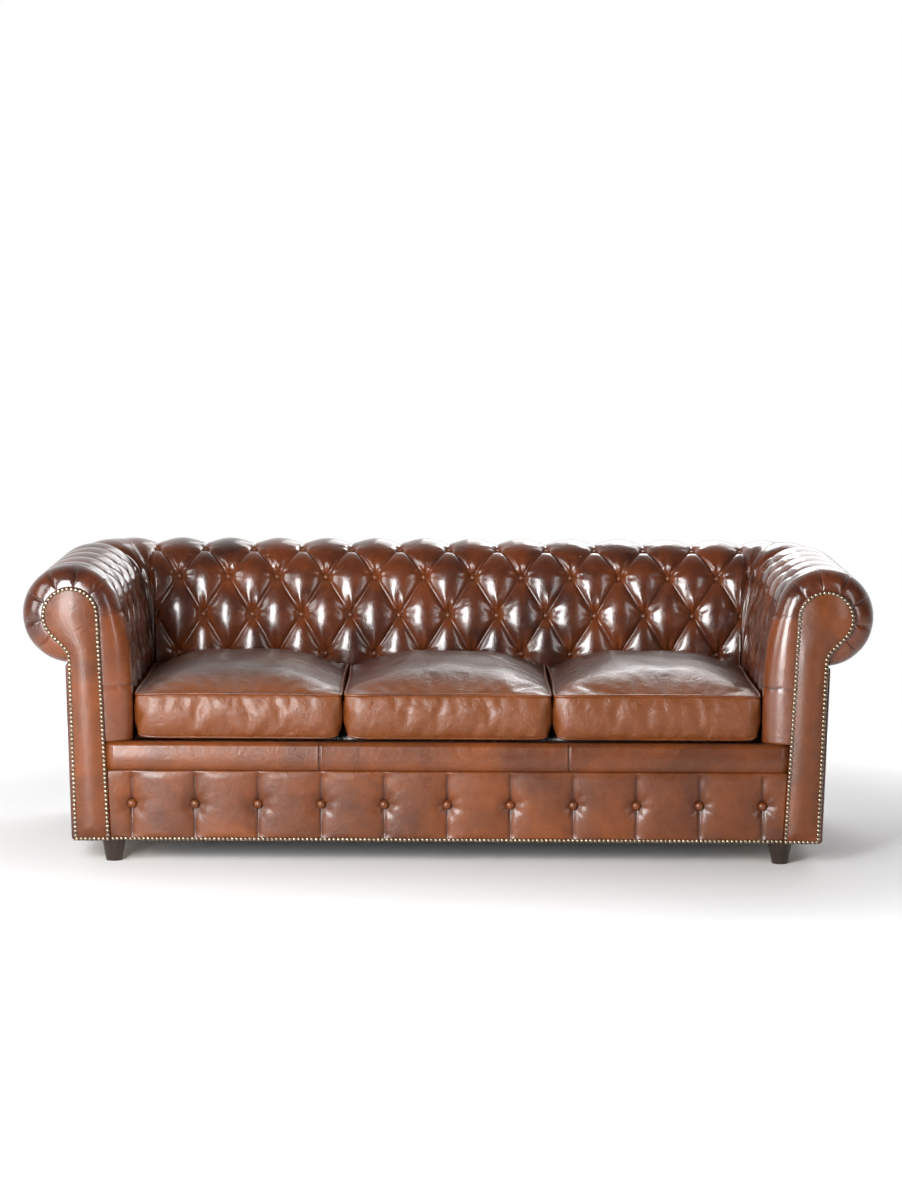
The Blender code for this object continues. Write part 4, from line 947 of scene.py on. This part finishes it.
edge = ROLL_X - CORNER_TURN + CORNER_BUTTON
found = pad_buttons(-edge, edge, BACK_OFFSET, on_back)
dress(copies("back_buttons", button, found), "sofa_frame", "dark_leather")
for side, label in SIDES:
    found = pad_buttons(ARM_FRONT + NOSE_DEPTH + NOSE_FADE, ROLL_Y - CORNER_TURN, ARM_OFFSET, on_arm(side))
    dress(copies(f"{label}_arm_buttons", button, found), "sofa_frame", "dark_leather")
height = BASE_Z + BUTTON_HEIGHT * (BORDER_SEAM - BASE_Z)
centres = [(step - (BORDER_BUTTONS - 1) / 2) * BORDER_PITCH for step in range(BORDER_BUTTONS)]
depth = float(border_depth(np.array([0.0]), np.array([BUTTON_HEIGHT]))[0][0])
places = [((x, BORDER_FRONT + depth - SEATING, height), FORWARD) for x in centres]
dress(copies("border_buttons", border_button, places), "sofa_frame", "tan_leather")
bpy.data.objects.remove(button)
bpy.data.objects.remove(border_button)
print("buttons on the border:", len(centres))

# %% [markdown]
# Outer panels
#
# The outsides of the arms and back are flat boards covered in leather. Each is a copy of the frame's board,
# with its loose triangles merged and its edges rounded by a Bevel modifier, as leather rounds them.

# %% Cover the outer panels
PANEL_ROUND = 0.007


def covered_board(node, name, material):
    """A copy of a board with rounded edges."""
    piece = frame["nodes"][node].copy()
    piece.data = frame["nodes"][node].data.copy()
    piece.parent = None
    piece.name = name
    bpy.context.scene.collection.objects.link(piece)
    piece.data.materials.clear()
    piece.data.materials.append(material)
    select_only(piece)
    bpy.ops.object.mode_set(mode="EDIT")
    bpy.ops.mesh.select_all(action="SELECT")
    bpy.ops.mesh.remove_doubles(threshold=0.00001)
    bpy.ops.mesh.dissolve_limited(angle_limit=math.radians(1))
    bpy.ops.object.mode_set(mode="OBJECT")
    soften = piece.modifiers.new("rounded edges", "BEVEL")
    soften.width = PANEL_ROUND
    soften.segments = 4
    bpy.ops.object.modifier_apply(modifier=soften.name)
    bpy.ops.object.shade_smooth_by_angle(angle=math.radians(40))
    return piece


for label in ("left", "right", "back"):
    panel = covered_board(f"{label}_outer_panel", f"{label}_covered_panel", DARK_LEATHER)
    dress(panel, "sofa_frame", "dark_leather", f"{label}_outer_panel")
print("covered panels:", 3)

# %% [markdown]
# Seat cushions
#
# Each loose cushion is boxed: a crowned top, a band round the sides, and piping sewn into both edges. It lies
# flat on the folded bed. The shape starts as a fine box whose top rises to a crown, whose sides draw in
# between the corners and whose lower corners are rounded. A cloth simulation then blows it up: its seams
# and its underside are held, the leather is cut a little too large, and pressure fills it, so the leather
# finds its own soft bulges and wrinkles.

# %% Fill the cushions
CUSHION_BAND, CUSHION_CROWN = 0.121, 0.050
CORNER_ROUND = (0.005, 0.016)       # how far the corners draw in, across and along
CORNER_DROOP = 0.004                # how far the top sinks at its corners
FOOT_TUCK, FOOT_RISE = 0.008, 0.007     # how far the lower corners draw in and up
SIDE_PULL, FRONT_PULL = 0.005, 0.011    # how far the edges draw in between the corners
BELLY = 0.007                       # how far the band swells at half its height
EDGE_LIFT = 0.004                   # rise of the underside at its edges
CUSHION_CELLS = (40, 48, 10)        # across, deep and high
CUSHION_CAP = 0.016                 # most that the simulation may move a point
SIDE_ROOM = 0.0012                  # most that a side may bulge past the frame's cushion
DENT_WAVES, DENT_DEPTH = 7, 0.0026
DENT_LENGTHS = (0.11, 0.30)
PIPING_RADIUS = 0.0040
PIPING_IN = 0.5                     # how far the cord lies in from an edge, in radii
PRESSURE, SPARE = 4.0, 0.02         # of the filling, and how much too large the leather is cut
FILL_FRAMES = 20
PAINTED_LIT_FRONT, PAINTED_LIT_BAND = 0.22, 0.85  # painted light: share of the top, from the front, painted paler, and how pale the band is painted


def box_shell(cells):
    """Unit points (u, v, w) from -1 to 1 on the outside of a box, and its faces."""
    index, points, faces = {}, [], []

    def point(key):
        if key not in index:
            index[key] = len(points)
            points.append(tuple(2 * k / c - 1 for k, c in zip(key, cells)))
        return index[key]

    for axis in range(3):
        one, other = [a for a in range(3) if a != axis]
        for side in (0, cells[axis]):
            for i in range(cells[one]):
                for j in range(cells[other]):
                    corners = []
                    for di, dj in ((0, 0), (1, 0), (1, 1), (0, 1)):
                        key = [0, 0, 0]
                        key[axis], key[one], key[other] = side, i + di, j + dj
                        corners.append(point(tuple(key)))
                    faces.append(tuple(corners))
    return np.array(points), faces


def dents(x, y, seed):
    """Shallow dents that sitting leaves in a cushion, as a sum of waves."""
    draw = np.random.default_rng(seed)
    depth = np.zeros_like(x)
    for wave in range(DENT_WAVES):
        heading, length = draw.uniform(0, math.pi), draw.uniform(*DENT_LENGTHS)
        along = x * math.cos(heading) + y * math.sin(heading)
        depth += np.sin(2 * math.pi * (along / length + draw.uniform()))
    return DENT_DEPTH * depth / DENT_WAVES ** 0.5


def cushion_points(unit, low, high, seed):
    """Place unit points in a cushion's box; the high powers keep a change close to the edges."""
    u, v, w = unit.T
    half = (np.array(high) - np.array(low)) / 2
    middle = (np.array(high) + np.array(low)) / 2
    flat = (1 - np.abs(u) ** 3) * (1 - np.abs(v) ** 3)
    crown = CUSHION_CROWN * flat + dents(u * half[0], v * half[1], seed) * np.sqrt(flat)
    belly = BELLY * (1 - w * w)
    corner = np.abs(u * v) ** 10
    foot = np.abs(u) ** 14 * ((1 - w) / 2) ** 2
    x = middle[0] + u * half[0] - (SIDE_PULL - belly) * u ** 3 * (1 - v * v)
    x -= (CORNER_ROUND[0] * corner + FOOT_TUCK * foot) * np.sign(u)
    y = middle[1] + v * half[1] - (FRONT_PULL - belly) * v ** 3 * (1 - u ** 4)
    y -= CORNER_ROUND[1] * corner * np.sign(v)
    droop = CORNER_DROOP * np.abs(u * v) ** 5
    lift = EDGE_LIFT * np.maximum(np.abs(u), np.abs(v)) ** 24
    z = low[2] + (1 - w) / 2 * lift + FOOT_RISE * foot + (w + 1) / 2 * (CUSHION_BAND + crown - droop)
    return np.stack((x, y, z), axis=1)


def fill_with_cloth(piece, held):
    """Blow up a piece by cloth simulation with its held points pinned; gives its points afterwards."""
    group = piece.vertex_groups.new(name="held")
    group.add([int(index) for index in held], 1.0, "REPLACE")
    cloth = piece.modifiers.new("fill", "CLOTH")
    settings = cloth.settings
    settings.quality = 6
    settings.mass = 0.4
    settings.tension_stiffness = settings.compression_stiffness = 18
    settings.shear_stiffness = 6
    settings.bending_stiffness = 0.6
    settings.shrink_min = -SPARE
    settings.use_pressure = True
    settings.uniform_pressure_force = PRESSURE
    settings.vertex_group_mass = group.name
    settings.effector_weights.gravity = 0
    cloth.collision_settings.use_collision = False
    scene = bpy.context.scene
    for step in range(1, FILL_FRAMES + 1):
        scene.frame_set(step)
    view = piece.evaluated_get(bpy.context.evaluated_depsgraph_get())
    result = np.empty(3 * len(piece.data.vertices))
    view.data.vertices.foreach_get("co", result)
    piece.modifiers.remove(cloth)
    piece.vertex_groups.remove(group)
    scene.frame_set(1)
    return result.reshape(-1, 3)


def piping(name, line):
    """A sewn leather cord along a closed line of points."""
    curve = bpy.data.curves.new(name, "CURVE")
    curve.dimensions = "3D"
    curve.bevel_depth = PIPING_RADIUS
    curve.bevel_resolution = 2
    spline = curve.splines.new("POLY")
    spline.points.add(len(line) - 1)
    spline.points.foreach_set("co", np.concatenate((line, np.ones((len(line), 1))), axis=1).ravel())
    spline.use_cyclic_u = True
    item = bpy.data.objects.new(name, curve)
    bpy.context.scene.collection.objects.link(item)
    select_only(item)
    bpy.ops.object.convert(target="MESH")
    item = bpy.context.object
    item.data.shade_smooth()
    item.data.materials.append(TAN_LEATHER)
    return item


def subdivide(piece):
    """Smooth a piece with one level of subdivision, applied."""
    select_only(piece)
    smooth = piece.modifiers.new("smooth", "SUBSURF")
    smooth.levels = smooth.render_levels = 1
    bpy.ops.object.modifier_apply(modifier=smooth.name)


def on_sides(unit):
    """Which unit points lie on the band."""
    return np.isclose(np.abs(unit[:, 0]), 1) | np.isclose(np.abs(unit[:, 1]), 1)


def round_the_edge(unit, level):
    """Indices of the points on one edge of the band, in order round the cushion."""
    on_edge = np.where(np.isclose(unit[:, 2], level) & on_sides(unit))[0]
    return on_edge[np.argsort(np.arctan2(unit[on_edge, 1], unit[on_edge, 0]))]


def seat_cushion(label, seed):
    """One cushion with its piping."""
    low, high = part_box(f"{label}_seat_cushion")
    unit, faces = box_shell(CUSHION_CELLS)
    start = cushion_points(unit, low, high, seed)
    v, w = unit[:, 1], unit[:, 2]
    # painted light: the band and the front of the top are painted paler, as faces lit from the front
    tone_and_painted_light = np.where(np.isclose(w, 1), 1 - ease((v + 1) / 2 / PAINTED_LIT_FRONT), PAINTED_LIT_BAND)
    piece = mesh_piece(f"{label}_cushion", start, faces, SEAT_LEATHER, tone_and_painted_light)
    held = np.where(np.isclose(w, -1) | (np.isclose(w, 1) & on_sides(unit)))[0]
    filled = fill_with_cloth(piece, held)
    start = start + np.clip(filled - start, -CUSHION_CAP, CUSHION_CAP)
    start[:, :2] = np.clip(start[:, :2], np.array(low[:2]) - SIDE_ROOM, np.array(high[:2]) + SIDE_ROOM)
    piece.data.vertices.foreach_set("co", start.ravel())
    cords = []
    for level, edge, rise in ((1, "top", 0.2), (-1, "bottom", 0.9)):
        line = start[round_the_edge(unit, level)]
        outward = (line - line.mean(axis=0))[:, :2]
        line[:, :2] -= PIPING_IN * PIPING_RADIUS * outward / np.linalg.norm(outward, axis=1, keepdims=True)
        line[:, 2] += rise * PIPING_RADIUS
        cords.append(piping(f"{label}_cushion_{edge}_piping", line))
    subdivide(piece)
    return piece, cords


for seed, label in enumerate(("left", "middle", "right")):
    piece, cords = seat_cushion(label, seed)
    dress(piece, f"{label}_cushion", "seat_leather", f"{label}_seat_cushion")
    for cord in cords:
        dress(cord, f"{label}_cushion", "tan_leather")
print("faces of a cushion:", len(piece.data.polygons))

# %% [markdown]
# Mattress
#
# The folding mattress has three panels in striped ticking, each tufted and rounded at its edges. Folded, they
# lie face to face with hardly any room, so each one only sinks in at its tufts and never swells past the
# frame's panel. The stripes run along the bed, and dark tape binds the edges of each panel.

# %% Sew the mattress
MATTRESS_CELLS = (56, 26, 6)
TUFT_PITCH, TUFT_DEPTH, TUFT_REACH, TUFT_FADE = 0.17, 0.010, 0.030, 0.05
MATTRESS_ROUND, MATTRESS_WAIST = 0.022, 0.010   # rounding of the edges, and how far they draw in
MATTRESS_THIN = 0.30                # how much thinner the edges are, as a share
STRIPE_PITCH = 0.060
BINDING = 0.012                     # points nearer than this to an edge carry its tape
BINDING_COLOUR = (0.030, 0.036, 0.055)


def ticking(name):
    """Striped cotton: two thin lines and a broad one, with a fine weave, bound along its edges."""
    material, tree, shader, place = new_material(name)
    across = add_node(tree, "ShaderNodeSeparateXYZ", {"Vector": place}).outputs["X"]
    turns = calculate(tree, "DIVIDE", across, STRIPE_PITCH)
    ramp = add_node(tree, "ShaderNodeValToRGB", {"Fac": calculate(tree, "FLOORED_MODULO", turns, 1.0)})
    ramp.color_ramp.interpolation = "CONSTANT"
    cream, blue = (0.62, 0.58, 0.50, 1), (0.085, 0.105, 0.16, 1)
    for place_on_ramp, colour in ((0.10, blue), (0.16, cream), (0.24, blue), (0.44, cream), (0.52, blue),
                                  (0.58, cream)):
        ramp.color_ramp.elements.new(place_on_ramp).color = colour
    ramp.color_ramp.elements[0].color = cream
    ramp.color_ramp.elements[-1].color = cream
    bound = calculate(tree, "GREATER_THAN", hollowness(tree), 0.5)
    feed(tree, shader, {"Base Color": mix_colour(tree, bound, ramp.outputs["Color"], BINDING_COLOUR),
                        "Roughness": 0.88, "Sheen Weight": 0.15, "Normal": weave(tree, place, 900.0, 0.25)})
    return material


def weave(tree, place, scale, strength):
    """Normals of a fine over-and-under weave."""
    threads = {"Vector": place, "Scale": scale / 6, "Distortion": 0.4}
    warp, weft = (add_node(tree, "ShaderNodeTexWave", threads, bands_direction=axis).outputs["Fac"]
                  for axis in "XY")
    return bump(tree, calculate(tree, "ADD", warp, weft), strength, 0.0006)


TICKING = ticking("ticking")


def mattress_panel(node, name):
    """A panel with rounded edges and rows of tufts on both faces."""
    low, high = (np.array(corner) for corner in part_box(node))
    unit, faces = box_shell(MATTRESS_CELLS)
    half, middle = (high - low) / 2, (high + low) / 2
    points = middle + unit * half
    from_edge = (half - np.abs(points - middle))[:, :2].min(axis=1)
    edge = np.clip(1 - from_edge / MATTRESS_ROUND, 0, 1)
    points[:, 2] = middle[2] + (points[:, 2] - middle[2]) * (1 - MATTRESS_THIN * edge ** 2)
    waist = np.sqrt(np.clip(1 - unit[:, 2] ** 2, 0, 1))
    sides = np.sign(unit) * np.isclose(np.abs(unit), 1)
    points[:, :2] -= sides[:, :2] * (MATTRESS_WAIST * (1 - waist))[:, None]
    rows = (points[:, :2] - middle[:2]) / TUFT_PITCH
    near = ((rows - np.round(rows)) ** 2).sum(axis=1) * TUFT_PITCH ** 2
    dimple = TUFT_DEPTH * np.exp(-near / TUFT_REACH ** 2) * ease(from_edge / TUFT_FADE)
    points[:, 2] -= sides[:, 2] * dimple
    piece = mesh_piece(name, points, faces, TICKING, (from_edge < BINDING).astype(float))
    subdivide(piece)
    return piece


for section in ("head", "middle", "foot"):
    node = f"{section}_mattress_panel"
    panel = dress(mattress_panel(node, f"{section}_mattress"), f"{section}_section", "ticking", node)
print("mattress panels:", 3)

# %% [markdown]
# Timber, steel and cloth inside
#
# The frame's own boards, tubes and sheets have the right shapes already, so they keep them and only get
# better finishes: sawn pine with its grain along the board, stained beech for the feet, black enamel with a
# slight orange peel for the bed's steel, and woven sheets for the decks and the dust cover.

# %% Finish the frame's own pieces
def timber(name, pale, dark, stretch, roughness):
    """Wood with its grain stretched along one axis."""
    material, tree, shader, place = new_material(name)
    drawn = add_node(tree, "ShaderNodeMapping", {"Vector": place, "Scale": stretch}).outputs["Vector"]
    rings = noise(tree, drawn, 9.0, 7.0, distortion=1.5)
    fibre = noise(tree, drawn, 120.0, 3.0)
    both = spread(tree, calculate(tree, "MULTIPLY", rings, fibre), 0.12, 0.42)
    feed(tree, shader, {"Base Color": mix_colour(tree, both, dark, pale), "Roughness": roughness,
                        "Normal": bump(tree, fibre, 0.2, 0.0005)})
    return material


def enamel(name, colour):
    """Black enamel on steel tube."""
    material, tree, shader, place = new_material(name)
    dust = spread(tree, noise(tree, place, 18.0, 5.0), 0.3, 0.8)
    peel = noise(tree, place, 240.0, 2.0)
    feed(tree, shader, {"Base Color": mix_colour(tree, dust, colour, (0.065, 0.063, 0.06)),
                        "Roughness": spread(tree, dust, 0, 1, 0.30, 0.48),
                        "Normal": bump(tree, peel, 0.12, 0.0004)})
    return material


def sheet_cloth(name, colour, scale):
    """A woven sheet with thread by thread variation."""
    material, tree, shader, place = new_material(name)
    pale = tuple(1.7 * value for value in colour)
    feed(tree, shader, {"Base Color": mix_colour(tree, noise(tree, place, scale, 3.0), colour, pale),
                        "Roughness": 0.9, "Normal": weave(tree, place, scale * 2, 0.4)})
    return material


PINE = ((0.50, 0.34, 0.19), (0.30, 0.18, 0.09))
PINE_ACROSS = timber("pine_across", *PINE, (0.25, 3.0, 3.0), 0.65)
PINE_ALONG = timber("pine_along", *PINE, (3.0, 0.25, 3.0), 0.65)
STAINED = timber("stained_wood", (0.034, 0.016, 0.009), (0.012, 0.006, 0.003), (6.0, 6.0, 0.8), 0.36)
STEEL = enamel("black_steel", (0.022, 0.022, 0.024))
DECK = sheet_cloth("deck_cloth", (0.035, 0.036, 0.040), 420.0)
ALONG = ("side_rail", "arm_board")
shown = 0
for row in frame["record"]["subparts"]:
    name, slot = row["node"], row["material_slot"]
    if slot == "timber":
        material = PINE_ALONG if name.endswith(ALONG) else PINE_ACROSS
    else:
        material = {"stained_wood": STAINED, "black_steel": STEEL, "deck_cloth": DECK}.get(slot)
    if material:
        item = frame["nodes"][name]
        item.data.materials.clear()
        item.data.materials.append(material)
        shown += 1
print("frame pieces finished:", shown)
